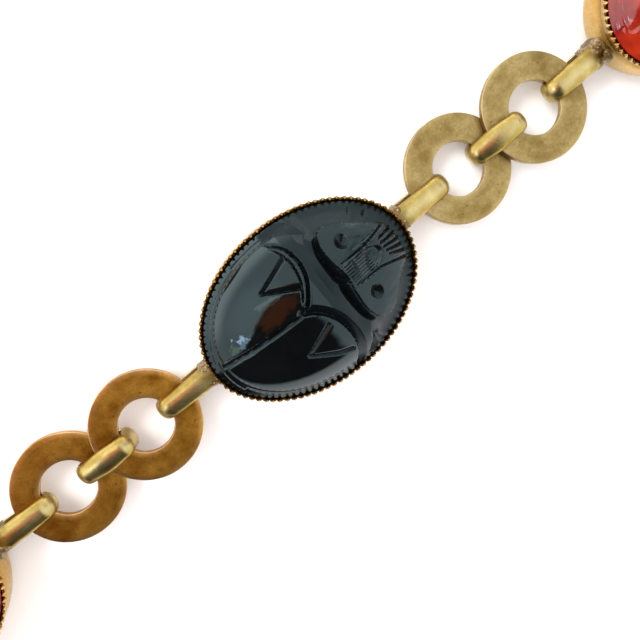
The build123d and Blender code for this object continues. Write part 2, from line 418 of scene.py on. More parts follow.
@dataclass(frozen=True)
class CarvedGlass:
    """Pressed glass, carved by a wheel: it goes from `polish` to `cut` in roughness where the wheel has been.

    The pressed dome has slow ripples, and the wheel leaves a fine tooth, drawn coarser than it is. The level
    is the strength of its reflections, and the tint is their colour.
    """

    name: str
    colour: str
    vein: str
    polish: float
    cut: float
    scatter: float
    index: float = 1.56
    vein_size: float = 2.4
    tint: str = "#ffffff"
    level: float = 0.5
    ripple: float = 1.6
    ripple_depth: float = 0.004
    tooth: float = 0.12
    tooth_depth: float = 0.012
    glow: Triple = (1.0, 0.22, 0.1)
    glow_depth: float = 1.5

    def material(self) -> bpy.types.Material:
        """Build the finish; the grime_and_shade mark says where the wheel has cut."""
        noises = {"vein": (self.vein_size, 3.0, 0.55), "ripple": (self.ripple, 1.0, 0.4)}
        recipe = Recipe(self.name, **noises, tooth=(self.tooth, 2.0, 0.6))
        colour = recipe.coated(self.colour, Coat("vein", 0.38, 0.64, self.vein))
        cut = recipe.patterns["grime_and_shade"]
        duller = {0: cut, 1: 0.0, 2: 1.0, 3: self.polish, 4: self.cut}
        rough = add_node(recipe.tree, "ShaderNodeMapRange", inputs=duller)
        relief = {"Height": recipe.patterns["ripple"], "Distance": self.ripple_depth * MM, "Strength": 1.0}
        wavy = add_node(recipe.tree, "ShaderNodeBump", inputs=relief)
        relief = {"Height": recipe.patterns["tooth"], "Distance": self.tooth_depth * MM, "Strength": cut}
        ground = add_node(recipe.tree, "ShaderNodeBump", inputs={**relief, "Normal": wavy.outputs[0]})
        return recipe.finished(
            {
                "Base Color": colour,
                "Roughness": rough.outputs[0],
                "Normal": ground.outputs[0],
                "IOR": self.index,
                "Specular Tint": linear(self.tint),
                "Specular IOR Level": self.level,
                "Subsurface Weight": self.scatter,
                "Subsurface Radius": self.glow,
                "Subsurface Scale": self.glow_depth * MM,
            }
        )


def matrix_of(along: np.ndarray, across: np.ndarray, upward: np.ndarray, origin: np.ndarray) -> np.ndarray:
    """Matrix that puts a piece's three axes and its origin in the part's frame."""
    place = np.eye(4)
    place[:3] = np.stack([along, across, upward, origin], -1)
    return place


def level_axes(heading: float) -> tuple[np.ndarray, np.ndarray]:
    """The level directions along a heading in radians and to its left."""
    along = np.array([math.cos(heading), math.sin(heading), 0.0])
    return along, np.cross(UP, along)


class Chain:
    """Where the pieces lie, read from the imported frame, in millimetres."""

    def __init__(self, nodes: dict[str, bpy.types.Object]) -> None:
        """Take the frame's nodes."""
        self.nodes = nodes
        self.count = sum(name.startswith("setting_") for name in nodes)
        self.clasp_pair = next(k for k in range(1, self.count + 1) if f"oval_link_{k}" not in nodes)

    def middle(self, node: str) -> np.ndarray:
        """Middle of a node's box."""
        low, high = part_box(node)
        return np.array((low + high) / 2) / MM

    def axes(self, node: str) -> np.ndarray:
        """A node's own three directions, as rows, the one along which it is thinnest first."""
        vertices = self.nodes[node].data.vertices
        points = np.empty(len(vertices) * 3, np.float32)
        vertices.foreach_get("co", points)
        points = points.reshape(-1, 3).astype(float) / MM - self.middle(node)
        return np.linalg.eigh(points.T @ points)[1].T

    def heading(self, first: str, second: str) -> float:
        """Where the way from one node to another points, in radians."""
        step = self.middle(second) - self.middle(first)
        return math.atan2(step[1], step[0])

    def pair_heading(self, number: int) -> float:
        """Where a ring pair points, from its lower ring to its upper one."""
        return self.heading(f"lower_ring_{number}", f"upper_ring_{number}")

    def cup(self, number: int) -> np.ndarray:
        """Matrix of a setting, X along the chain, with its origin at the middle of its flat back."""
        before = (number - 2) % self.count + 1
        along, left = level_axes(self.heading(f"upper_ring_{before}", f"lower_ring_{number}"))
        return matrix_of(along, left, UP, self.middle(f"scarab_stone_{number}") * [1, 1, 0])

    def ring(self, node: str, turn: float) -> np.ndarray:
        """Matrix of a flat ring, turned in its own plane by an angle in radians."""
        normal = self.axes(node)[0]
        normal = normal * np.sign(normal[2])
        side = np.cross(normal, level_axes(turn)[0])
        side /= np.linalg.norm(side)
        return matrix_of(np.cross(side, normal), side, normal, self.middle(node))

    def link(self, number: int) -> np.ndarray:
        """Matrix of an oval link, X along it and Z up out of its window."""
        node = f"oval_link_{number}"
        forward = level_axes(self.pair_heading(number))[0]
        axes = self.axes(node)
        along = max(axes, key=lambda axis: abs(axis @ forward))
        along = along * np.sign(along @ forward)
        upward = max(axes, key=lambda axis: abs(axis[2]))
        upward = upward * np.sign(upward[2])
        return matrix_of(along, np.cross(upward, along), upward, self.middle(node))

    def clasp(self) -> np.ndarray:
        """Matrix of the clasp: the first link's tilt and height, at its own pair's middle and heading."""
        other = self.link(1 if self.clasp_pair != 1 else 2)
        rings = [self.middle(f"{level}_ring_{self.clasp_pair}") for level in ("lower", "upper")]
        origin = np.append((rings[0] + rings[1])[:2] / 2, other[2, 3])
        forward, left = level_axes(self.pair_heading(self.clasp_pair))
        tilt = math.asin(other[2, 0])
        along = forward * math.cos(tilt) + UP * math.sin(tilt)
        return matrix_of(along, left, np.cross(along, left), origin)


@dataclass
class FlatRing:
    """A ring punched from thick sheet: level faces, softened edges, and a little waviness from wear."""

    outer: float = 3.31
    bore: float = 1.625
    thickness: float = 0.5
    edge: float = 0.05
    corner_steps: int = 4
    face_steps: int = 4
    around: int = 120
    unevenness: float = 0.012
    lift_wave: float = 4.0
    swell_wave: float = 3.0
    rub_wave: float = 2.2
    rub_patchiness: float = 0.35
    corner_wear: Pair = (0.3, 0.8)

    def section(self) -> tuple[np.ndarray, np.ndarray]:
        """Outline of the band as radius and height, once round, and how rubbed it is there.

        Each corner is a quarter circle. Wear is strongest in its middle, and there is none on the faces.
        """
        turn = np.linspace(0, math.pi / 2, self.corner_steps)
        half = self.thickness / 2 - self.edge
        middles = [(self.outer - self.edge, half), (self.bore + self.edge, half)]
        middles += [(radius, -height) for radius, height in middles[::-1]]
        spread = np.linspace(0, 1, self.face_steps + 2)[1:-1, None]
        corners = []
        for quarter, middle in enumerate(middles):
            angle = turn + quarter * math.pi / 2
            corners.append(np.array(middle) + self.edge * np.stack([np.cos(angle), np.sin(angle)], -1))
        least, most = self.corner_wear
        outline, wear = [], []
        for corner, after in zip(corners, corners[1:] + corners[:1]):
            outline += [corner, corner[-1] + spread * (after[0] - corner[-1])]
            wear += [least + (most - least) * np.sin(2 * turn), np.zeros(self.face_steps)]
        return np.vstack(outline), np.concatenate(wear)

    def build(self, node: str, place: np.ndarray, finish: bpy.types.Material, slot: str, seed: int) -> None:
        """Carry the section once round, with a wave in height and in width.

        Args:
            node: The node's name.
            place: Its matrix.
            finish: Its material.
            slot: The record's material slot.
            seed: Seed of its waviness.
        """
        outline, wear = self.section()
        turn = np.linspace(0, 2 * math.pi, self.around, endpoint=False)[None, :]
        radius, height = outline[:, 0, None], outline[:, 1, None]
        x, y = radius * np.cos(turn), radius * np.sin(turn)
        lift = self.unevenness * waves(seed, self.lift_wave, x, y, height)
        swell = self.unevenness * waves(seed + 50, self.swell_wave, x, y, height)
        grid = np.stack([x + swell * np.cos(turn), y + swell * np.sin(turn), height + lift], -1)
        patchy = 1 + self.rub_patchiness * (waves(seed + 90, self.rub_wave, x, y, height) - 1)
        skin = Skin()
        skin.add_closed(grid, wear=np.clip(wear[:, None] * patchy, 0, 1), tube=True)
        skin.piece(f"{node}_washer", place, finish, slot, node, crease=50)


@dataclass
class BentStrip:
    """Half-round strip, domed outside and flat inside, carried along a bent path in a plane."""

    width: float
    thickness: float = 0.46
    side: float = 0.05
    back_share: float = 0.93
    roundness: float = 0.95
    crown_wear: float = 0.35
    dome_steps: int = 21
    path_steps: int = 15

    def section(self) -> tuple[np.ndarray, np.ndarray]:
        """Outline across the strip and out of it, once round, and how rubbed it is there.

        The back is a straight line, a little narrower than the strip. The outer face is half an oval, whose
        height is a power of the sine, so that it is a little fuller than an ellipse.
        """
        turn = np.linspace(0, math.pi, self.dome_steps)
        low = -self.thickness / 2
        crown = self.thickness - self.side
        dome = [self.width / 2 * np.cos(turn), low + self.side + crown * np.sin(turn) ** self.roundness]
        across = self.back_share * self.width * np.array([-0.5, -0.25, 0.25, 0.5])
        back = [across, np.full(4, low)]
        wear = [self.crown_wear * hump(turn, math.pi / 2, 0.5), [1.0, 0.0, 0.0, 1.0]]
        return np.vstack([np.stack(dome, -1), np.stack(back, -1)]), np.concatenate(wear)

    def sweep(
        self, path: np.ndarray, closed: bool, flare: np.ndarray | float = 1.0
    ) -> tuple[np.ndarray, np.ndarray]:
        """Carry the section along a path in the XZ plane, its dome on the left of the way it runs.

        Args:
            path: Points of the path as X and Z.
            closed: Whether its end meets its start.
            flare: The strip's width at each point of the path, as a share of its own width.

        Returns:
            The grid of points, one row for each point of the path, and its wear.
        """
        before, after = np.roll(path, 1, axis=0), np.roll(path, -1, axis=0)
        if not closed:
            before[0], after[-1] = path[0], path[-1]
        along = after - before
        along /= np.linalg.norm(along, axis=1, keepdims=True)
        outward = np.stack([-along[:, 1], along[:, 0]], -1)
        outline, wear = self.section()
        reach = path[:, None, :] + outline[None, :, 1, None] * outward[:, None, :]
        across = outline[None, :, 0] * np.broadcast_to(flare, len(path))[:, None]
        return np.stack([reach[..., 0], across, reach[..., 1]], -1), np.broadcast_to(wear, reach.shape[:2])


@dataclass
class Bail:
    """A strip bent to a U through a ring, its two limbs soldered to the cup's end and stained brown there."""

    reach: float
    height: float
    root: float = 6.25
    gap: float = 1.0
    bow: float = 0.12
    waist: float = 0.05
    stain: float = 0.6
    stain_start: float = 0.5
    stain_fade: Pair = (1.1, 1.9)
    stain_patch: float = 0.7
    strip: BentStrip = field(default_factory=lambda: BentStrip(width=1.36))

    def path(self) -> np.ndarray:
        """The U from the upper limb's root round the nose to the lower limb's root.

        The limbs are straight but for a half sine of rise, and the nose is half a circle.
        """
        bend = (self.gap + self.strip.thickness) / 2
        nose = self.reach - self.strip.thickness / 2 - bend
        share = np.linspace(0, 1, self.strip.path_steps)
        limb = self.root + share * (nose - self.root)
        rising = bend + self.bow * np.sin(math.pi * share)
        turn = np.linspace(math.pi / 2, -math.pi / 2, 2 * self.strip.path_steps)[1:-1]
        upper = np.stack([limb, self.height + rising], -1)
        round_nose = np.stack([nose + bend * np.cos(turn), self.height + bend * np.sin(turn)], -1)
        lower = np.stack([limb, self.height - rising], -1)[::-1]
        return np.vstack([upper, round_nose, lower])

    def add_to(self, skin: Skin, end: int) -> None:
        """Add the bail to a piece.

        Args:
            skin: The piece that it joins.
            end: 1 for the cup's head end, -1 for its tail end.
        """
        path = self.path()
        slim = 1 - self.waist * np.sin(math.pi * np.linspace(0, 1, len(path))) ** 2
        grid, wear = self.strip.sweep(path, closed=False, flare=slim)
        patchy = 0.5 + 0.5 * waves(3 + end, self.stain_patch, *np.moveaxis(grid, -1, 0))
        near, far = self.stain_fade
        reached = rise(grid[..., 0] - self.root, self.stain_start, near + (far - near) * patchy)
        stain = self.stain * (1 - reached) * (0.5 + 0.5 * patchy)
        skin.add_closed(grid * [end, 1, 1], wear=wear * (1 - rise(stain * 2)), grime_and_shade=stain)


@dataclass
class SolderCollar:
    """Solder run round both limbs of a bail where they meet the cup, lumpy and wider at the cup."""

    height: float
    start: float = 6.25
    end: float = 7.6
    width: float = 1.5
    tall: float = 2.06
    flare: float = 0.18
    flare_fall: Pair = (0.15, 1 / 1.7)
    close: float = 0.32
    close_rise: Pair = (0.84, 0.16)
    lump: float = 0.06
    lump_sizes: Pair = (0.7, 0.33)
    ragged: float = 0.16
    verdigris: float = 0.8
    verdigris_fall: Pair = (0.36, 0.12)
    along_steps: int = 34
    around_steps: int = 44

    def add_to(self, skin: Skin, end: int, seed: int) -> None:
        """Add the collar to a piece.

        Its section is a squarish oval, the sum of the fourth powers of its shares being one. It is a little
        wider at the cup, ends in a ragged edge that closes on the strip, and soft lumps push it in and out.
        Verdigris lies next to the cup.

        Args:
            skin: The piece that it joins.
            end: 1 for the cup's head end, -1 for its tail end.
            seed: Seed of its lumps.
        """
        turn = np.linspace(0, 2 * math.pi, self.around_steps, endpoint=False)[None, :]
        share = np.linspace(0, 1, self.along_steps)[:, None]
        cosine, sine = np.cos(turn), np.sin(turn)
        squareness = (cosine**4 + sine**4) ** -0.25
        ragged = self.ragged * waves(seed, 0.9, cosine, sine, 0 * cosine)
        x = self.start + share * (self.end - self.start + ragged)
        flare = 1 + self.flare * (1 - rise(share, *self.flare_fall))
        flare = flare - self.close * rise(share, *self.close_rise) ** 2
        y = self.width / 2 * squareness * cosine * flare
        z = self.tall / 2 * squareness * sine * (0.55 + 0.45 * flare)
        large, small = self.lump_sizes
        lumps = self.lump * (waves(seed + 1, large, x, y, z) + 0.4 * waves(seed + 2, small, x, y, z))
        grid = np.stack([end * x, y + lumps * cosine, self.height + z + lumps * sine], -1)
        patchy = np.clip(waves(seed + 3, 0.8, x, y, z) + 0.4, 0, 1)
        skin.add_closed(grid, grime_and_shade=self.verdigris * (1 - rise(share, *self.verdigris_fall)) * patchy)


@dataclass
class Cup:
    """A bowl pressed from sheet, with a saw-toothed bezel strip soldered round its mouth.

    The bowl's side goes through stations of rise and tuck, as shares of its height and of its tuck under.
    The strip leans out from the crease over the bowl, and folds in over the stone near its top. Runs along
    the strip are measured from the crease. The teeth darkening darkens the teeth's upper part, far more
    round a black stone. Painted shade darkens the crease, the notches between the teeth, the strip's inner
    face and the bowl's inside.
    """

    length: float = 13.7
    width: float = 9.86
    bowl_height: float = 3.0
    tuck: float = 1.35
    side: Route = ((0, 1.0), (0.12, 0.52), (0.28, 0.2), (0.48, 0.08), (0.76, 0.07), (0.92, 0.1), (1, 0.17))
    lip_inset: float = 0.24
    step_down: float = 2.4
    floor: float = 1.35
    wall: float = 0.26
    dent: float = 0.02
    dent_size: float = 3.0
    dent_radius: float = 5.0
    dent_rise: Pair = (0.0, 0.8)
    dent_fall: Pair = (2.5, 0.4)
    crease_share: float = 0.16
    strip_start: float = 2.86
    strip_inset: float = 0.25
    flare: float = 14.0
    fold_run: float = 0.96
    fold_length: float = 0.14
    tooth_lean: float = 50.0
    tooth_run: Pair = (0.88, 1.22)
    tooth_pitch: float = 0.41
    tooth_bulge: float = 0.09
    tooth_drift: float = 0.09
    tooth_length_range: Pair = (0.9, 1.1)
    tooth_lean_range: Pair = (-10.0, 8.0)
    tooth_point: float = 1.25
    bulge_rise: Pair = (0.62, 0.3)
    thin_length: float = 0.35
    tip_wear: float = 0.45
    tip_rise: Pair = (1.03, 0.12)
    # darkening of the teeth's upper part, raised for the cups of black stones
    teeth_darkening: float = 0.05
    # painted shade: in the notches between the teeth, on the strip's inner face, and in the crease on the
    # strip and on the bowl
    notch_shade: float = 0.5
    teeth_darkening_rise: Pair = (0.8, 0.2)
    inner_face_shade: float = 0.12
    crease_shade: float = 0.3
    crease_length: float = 0.3
    bowl_crease_shade: float = 0.4
    metal: float = 0.12
    bowl_around: int = 200
    tooth_samples: int = 8

    def point(self, share: np.ndarray, inset: np.ndarray, height: np.ndarray, turn: np.ndarray) -> np.ndarray:
        """Points on the outline drawn in by an inset and shrunk by a share, at a height and an angle."""
        x = (self.length / 2 - inset) * share * np.cos(turn)
        y = (self.width / 2 - inset) * share * np.sin(turn)
        return np.stack(np.broadcast_arrays(x, y, height), -1)

    def add_bowl(self, skin: Skin, seed: int) -> None:
        """Add the bowl, outside from the back's middle to the mouth, and inside back to the floor's middle.

        The outside is a smooth curve through the side's stations. Slow waves make it as uneven as a pressed
        and worn cup is.

        Args:
            skin: The piece that it joins.
            seed: Seed of its unevenness.
        """
        inner = self.strip_inset + self.wall
        outside = [(step, self.tuck, 0.0) for step in np.linspace(0, 1, 8)[:-1]]
        stations = curve_through(self.side, 6) * [self.bowl_height, self.tuck]
        outside += [(1.0, inset, up) for up, inset in stations]
        inside = [(1.0, self.lip_inset, self.bowl_height), (1.0, inner, self.bowl_height)]
        inside += [(1.0, inner, self.step_down)]
        inside += [(step, inner, self.floor) for step in (1.0, 0.7, 0.35, 0.0)]
        share, inset, height = np.array(outside + inside).T[:, :, None]
        turn = np.linspace(0, 2 * math.pi, self.bowl_around, endpoint=False)[None, :]
        middle = rise(height, *self.dent_rise) * (1 - rise(height, *self.dent_fall)) * (inset < 1.0)
        round_x, round_y = self.dent_radius * np.cos(turn), self.dent_radius * np.sin(turn)
        dents = self.dent * waves(seed, self.dent_size, round_x, round_y, height)
        # painted shade: the outside darkens towards the crease under the strip, and the whole inside is dark
        crease = rise(height / self.bowl_height, 1 - self.crease_share, self.crease_share)
        dirt_and_shade = self.bowl_crease_shade * crease**2
        dirt_and_shade[len(outside) :] = 1.0
        skin.add_closed(self.point(share, inset + dents * middle, height, turn), grime_and_shade=dirt_and_shade)

    def strip_curve(self, run: np.ndarray, lean: np.ndarray) -> tuple[np.ndarray, np.ndarray, np.ndarray]:
        """Where a point of the strip's outer face lies, and which way the face points.

        The face's slope from upright goes from the flare outwards to the teeth's lean inwards over the fold.
        Its inset and height are the running sums of the slope's sine and cosine.

        Args:
            run: How far along the strip each point is, from the crease.
            lean: How far the teeth lean in, in radians, for each column.

        Returns:
            The inset, the height, and the slope in radians.
        """
        fine, step = np.linspace(0, 1.7, 341, retstep=True)
        flare = math.radians(self.flare)
        bent = rise(fine, self.fold_run, self.fold_length)
        index = np.clip(run / step, 0, len(fine) - 1.001)
        low = index.astype(int)
        part = index - low
        slope = -flare + (flare + lean[None, :]) * bent[:, None]
        inset = self.strip_inset + np.cumsum(np.sin(slope), axis=0) * step
        height = self.strip_start + np.cumsum(np.cos(slope), axis=0) * step
        column = np.broadcast_to(np.arange(len(lean)), run.shape)
        curves = (inset, height, slope)
        inset, height, slope = (v[low, column] * (1 - part) + v[low + 1, column] * part for v in curves)
        return inset, height, slope

    def add_bezel(self, skin: Skin, seed: int) -> None:
        """Add the strip and its teeth, pushed in over the stone by hand.

        Each column of points goes up the outside from the crease to the strip's cut edge and down the inside.
        The edge is a row of pointed arches, each a little off in width, length and lean, with a notch between
        that reaches down past the fold.

        Args:
            skin: The piece that it joins.
            seed: Seed of the teeth's unevenness.
        """
        random = np.random.default_rng(seed)
        around = np.linspace(0, 2 * math.pi, 4001)
        steps = np.hypot(np.diff(self.length / 2 * np.cos(around)), np.diff(self.width / 2 * np.sin(around)))
        run = np.concatenate([[0], np.cumsum(steps)])
        teeth = round(run[-1] / self.tooth_pitch)
        number = np.arange(teeth * self.tooth_samples)
        phase = (number % self.tooth_samples) / self.tooth_samples
        which = number // self.tooth_samples
        arch = np.sin(math.pi * phase)
        drift = self.tooth_drift * random.uniform(-1, 1, teeth)[which] * arch * self.tooth_samples
        turn = np.interp((number + drift) / len(number) * run[-1], run, around)
        long_share = random.uniform(*self.tooth_length_range, teeth)[which]
        lean = np.radians(self.tooth_lean + random.uniform(*self.tooth_lean_range, teeth)[which] * arch)
        notch, tip = self.tooth_run
        edge = notch + (tip - notch) * long_share * (1 - np.abs(2 * phase - 1) ** self.tooth_point)
        share = np.concatenate([np.linspace(0, 0.62, 5), [0.7, 0.77, 0.84, 0.9, 0.96, 1.0]])[:, None]
        outer_run = share * edge[None, :]
        out_inset, out_height, slope = self.strip_curve(outer_run, lean)
        bulge = self.tooth_bulge * arch**2 * rise(outer_run, *self.bulge_rise)
        out_inset = out_inset - bulge * np.cos(slope)
        out_height = out_height + bulge * np.sin(slope)
        thin = self.metal * (1 - 0.5 * rise(outer_run, self.fold_run, self.thin_length))
        inset = np.vstack([out_inset, (out_inset + thin * np.cos(slope))[::-1]])
        height = np.vstack([out_height, (out_height - thin * np.sin(slope))[::-1]])
        uneven = 0.5 + 0.5 * random.uniform(-1, 1, teeth)[which]
        wear = (self.tip_wear - self.teeth_darkening) * rise(outer_run, *self.tip_rise) * arch**2 * uneven
        # painted shade in the notches between the teeth and along the crease, with the teeth darkening on
        # their upper part; the strip's inner face gets an even painted shade
        dirt_and_shade = rise(outer_run, *self.teeth_darkening_rise) * (self.teeth_darkening + self.notch_shade * (1 - arch**0.6))
        dirt_and_shade = np.clip(dirt_and_shade + self.crease_shade * (1 - rise(outer_run, 0.0, self.crease_length)), 0, 1)
        skin.add_closed(
            self.point(np.ones(1), inset, height, turn[None, :]),
            wear=np.vstack([wear, np.zeros_like(wear)]),
            grime_and_shade=np.vstack([dirt_and_shade, np.full_like(dirt_and_shade, self.inner_face_shade)]),
            tube=True,
        )


@dataclass(frozen=True)
class Cut:
    """One cut of the carver's wheel, on shares of the stone's half sizes.

    Widths to each side and depths are in millimetres, at the route's start and end. Sides that differ make a
    chip with one steep wall. The fades are the shares of the route over which the cut runs in and out.
    """

    route: Route
    left: Pair
    right: Pair
    depth: Pair
    fade: Pair = (0.05, 0.03)
    smooth: bool = True


def alike(*routes: Route, **sizes: Pair) -> tuple[Cut, ...]:
    """Cuts along several routes that share their sizes."""
    return tuple(Cut(route, **sizes) for route in routes)


@dataclass
class Scarab:
    """A scarab cut into a domed glass stone: seam, wing cases, shoulder chips, neck groove and head plate.

    The dome is the top of an ellipsoid, whose own half sizes are the stone's over the dome's share. Routes,
    outlines and places are shares of the half length and the half width, away from the middle line. A field
    that ends in _rise or _fall gives where a change starts and how far it takes, and one that ends in _place
    where a hump lies and how wide it is.
    """

    length: float = 13.24
    width: float = 9.4
    girdle: float = 3.75
    band: float = 0.46
    foot_inset: float = 0.3
    base: float = 1.39
    dome_height: float = 2.5
    share: float = 0.92
    grid_stretch: float = 1.06
    bevel_share: float = 0.1
    bevel_lift: float = 0.2
    off_middle: Pair = (0.007, 0.016)
    eyes: Route = ((0.486, 0.356), (0.468, -0.375))
    eye_size: Pair = (0.40, 0.46)
    eye_depth: float = 0.36
    plate_relief: float = 0.22
    plate_edge: float = 0.1
    plate_hollow: float = 0.08
    plate_lumps: float = 0.013
    lump_sizes: Pair = (0.9, 0.4)
    rim_flattening: float = 0.45
    ridge: float = 0.04
    valley: float = 0.24
    tooth_pitch: float = 0.27
    tooth_depth: float = 0.1
    rib_pitch: float = 0.165
    rib_depth: float = 0.07
    mouth_depth: float = 0.2
    wings_rise: Pair = (0.06, 0.05)
    valley_rise: Pair = (0.13, 0.15)
    middle_fall: Pair = (0.42, 0.3)
    rim_rise: Pair = (0.84, 0.16)
    plate_rise: Pair = (0.22, 0.14)
    toothed_rise: Pair = (0.32, 0.05)
    toothed_fall: Pair = (0.78, 0.06)
    ridge_rise: Pair = (0.2, 0.1)
    ridge_place: Pair = (-0.06, 0.05)
    neck_rise: Pair = (0.345, 0.02)
    neck_fall: Pair = (0.592, 0.008)
    neck_side_fall: Pair = (0.135, 0.02)
    neck_middle: float = -0.01
    rib_wander: float = 0.03
    rib_wander_size: float = 1.2
    mouth_middle: float = 0.60
    mouth_size: Pair = (0.135, 0.13)
    mouth_rise: Pair = (0.596, 0.01)
    border_fall: Pair = (-0.07, 0.12)
    border_rings: Pair = (0.9, 0.932)
    border_sways: Pair = (0.008, 0.026)
    step_depths: Pair = (0.035, 0.025)
    step_widths: Pair = (0.016, 0.01)
    line_place: Pair = (0.014, 0.008)
    line_depth: float = 0.015
    ground_from: float = 0.07
    dull_from: float = 0.06
    cut_dullness: Pair = (0.2, 1.0)
    plate_dullness: float = 0.5
    least_dullness: float = 0.28

    left_cuts: tuple[Cut, ...] = (
        # the seam between the wing cases, widest at the tail
        Cut(
            ((-0.93, 0.02), (-0.85, 0.032), (-0.6, 0.015), (-0.12, 0.0)),
            left=(0.24, 0.13), right=(0.22, 0.17), depth=(0.19, 0.15), fade=(0.04, 0.0),
        ),
        # the wing case's front edge, and a second line behind it
        Cut(
            (
                (-0.13, 0.0), (-0.07, 0.05), (0.0, 0.16), (0.065, 0.3),
                (0.098, 0.46), (0.092, 0.61), (0.06, 0.73), (-0.05, 0.89),
            ),
            left=(0.1, 0.1), right=(0.18, 0.16), depth=(0.28, 0.2), fade=(0.0, 0.12),
        ),
        Cut(
            (
                (-0.10, 0.07), (-0.04, 0.18), (0.015, 0.31), (0.043, 0.47),
                (0.04, 0.61), (0.012, 0.73), (-0.04, 0.85),
            ),
            left=(0.08, 0.07), right=(0.1, 0.1), depth=(0.17, 0.12), fade=(0.12, 0.2),
        ),
        # the shoulder chip: two straight cuts that meet at a point, steep outside and shallow inside
        Cut(((-0.32, 0.475), (0.038, 0.655)), left=(0.07, 0.09), right=(0.18, 0.3), depth=(0.16, 0.17)),
        Cut(((-0.32, 0.475), (-0.005, 0.235)), left=(0.2, 0.3), right=(0.07, 0.1), depth=(0.15, 0.2)),
        # the deep groove behind the head
        Cut(
            ((0.31, 0), (0.285, 0.1), (0.278, 0.3), (0.285, 0.42), (0.31, 0.53), (0.35, 0.6), (0.41, 0.64)),
            left=(0.42, 0.16), right=(0.26, 0.1), depth=(0.5, 0.2), fade=(0.0, 0.25),
        ),
        # the lines beside the neck and out to the mouth
        Cut(
            ((0.345, 0.17), (0.60, 0.152), (0.868, 0.185)),
            left=(0.06, 0.08), right=(0.1, 0.13), depth=(0.1, 0.14), fade=(0.05, 0.0),
        ),
        Cut(
            ((0.47, 0.205), (0.70, 0.20), (0.85, 0.205)),
            left=(0.04, 0.05), right=(0.06, 0.07), depth=(0.05, 0.06), fade=(0.3, 0.2),
        ),
        # the mouth's ridges, as the cuts between them, on both sides of the middle line
        *alike(
            ((0.745, 0.085), (0.91, 0.085)), ((0.745, -0.13), (0.895, -0.245)),
            left=(0.1, 0.14), right=(0.08, 0.1), depth=(0.11, 0.17), fade=(0.1, 0.0),
        ),
        *alike(
            ((0.735, 0.03), (0.915, 0.0)), ((0.735, -0.025), (0.915, -0.085)),
            left=(0.1, 0.15), right=(0.08, 0.1), depth=(0.12, 0.18), fade=(0.1, 0.0),
        ),
        Cut(
            ((0.74, -0.08), (0.905, -0.165)),
            left=(0.1, 0.14), right=(0.08, 0.1), depth=(0.12, 0.18), fade=(0.1, 0.0),
        ),
        # the legs along the border, steep towards the body
        Cut(
            ((-0.05, 0.89), (0.06, 0.885), (0.12, 0.865), (0.2, 0.79), (0.285, 0.70)),
            left=(0.5, 0.6), right=(0.08, 0.09), depth=(0.12, 0.2), fade=(0.1, 0.0),
        ),
        Cut(
            ((0.285, 0.70), (0.336, 0.785), (0.40, 0.812), (0.476, 0.82), (0.57, 0.80)),
            left=(0.6, 0.3), right=(0.09, 0.07), depth=(0.2, 0.1), fade=(0.0, 0.3),
        ),
        # short nicks of the legs' joints
        Cut(
            ((0.45, 0.70), (0.462, 0.775)),
            left=(0.12, 0.1), right=(0.07, 0.06), depth=(0.13, 0.08), fade=(0.15, 0.3),
        ),
        *alike(
            ((0.58, 0.635), (0.60, 0.695)), ((0.70, 0.535), (0.74, 0.60)), ((0.79, 0.40), (0.84, 0.44)),
            left=(0.12, 0.1), right=(0.07, 0.06), depth=(0.12, 0.08), fade=(0.15, 0.3),
        ),
        Cut(
            ((0.205, 0.86), (0.225, 0.91)),
            left=(0.08, 0.07), right=(0.05, 0.05), depth=(0.1, 0.08), fade=(0.2, 0.3),
        ),
    )
    right_cuts: tuple[Cut, ...] = (
        # the wing case's front edge, a broad trough
        Cut(
            (
                (-0.13, 0.01), (-0.055, 0.07), (0.01, 0.17), (0.062, 0.31),
                (0.085, 0.46), (0.088, 0.63), (0.055, 0.83), (-0.02, 0.99),
            ),
            left=(0.12, 0.12), right=(0.4, 0.46), depth=(0.3, 0.3), fade=(0.0, 0.0),
        ),
        # the shoulder chip
        Cut(
            ((-0.325, 0.445), (-0.10, 0.67), (0.03, 0.76)),
            left=(0.07, 0.1), right=(0.18, 0.28), depth=(0.15, 0.16), smooth=False,
        ),
        Cut(((-0.325, 0.445), (-0.015, 0.27)), left=(0.2, 0.3), right=(0.07, 0.1), depth=(0.15, 0.18)),
        # the deep groove behind the head
        Cut(
            ((0.31, 0.0), (0.28, 0.10), (0.272, 0.35), (0.283, 0.52), (0.315, 0.62), (0.36, 0.70)),
            left=(0.42, 0.2), right=(0.26, 0.12), depth=(0.5, 0.28), fade=(0.0, 0.15),
        ),
        # the line beside the neck and out to the mouth
        Cut(
            ((0.345, 0.155), (0.58, 0.178), (0.68, 0.21), (0.875, 0.325)),
            left=(0.06, 0.08), right=(0.1, 0.14), depth=(0.1, 0.15), fade=(0.05, 0.0),
        ),
        # the legs along the border, steep towards the body
        Cut(
            ((0.12, 0.97), (0.18, 0.88), (0.25, 0.775)),
            left=(0.4, 0.5), right=(0.08, 0.09), depth=(0.14, 0.2), fade=(0.1, 0.0),
        ),
        Cut(
            ((0.25, 0.775), (0.262, 0.86), (0.30, 0.96)),
            left=(0.3, 0.5), right=(0.09, 0.08), depth=(0.2, 0.1), fade=(0.0, 0.2),
        ),
        # short nicks of the legs' joints
        Cut(
            ((0.53, 0.74), (0.585, 0.83)),
            left=(0.05, 0.16), right=(0.05, 0.1), depth=(0.06, 0.18), fade=(0.3, 0.0),
        ),
        *alike(
            ((0.655, 0.655), (0.71, 0.73)), ((0.765, 0.52), (0.83, 0.57)),
            left=(0.05, 0.18), right=(0.05, 0.1), depth=(0.06, 0.2), fade=(0.3, 0.0),
        ),
        Cut(
            ((0.86, 0.36), (0.92, 0.395)),
            left=(0.05, 0.16), right=(0.05, 0.1), depth=(0.06, 0.16), fade=(0.3, 0.0),
        ),
    )
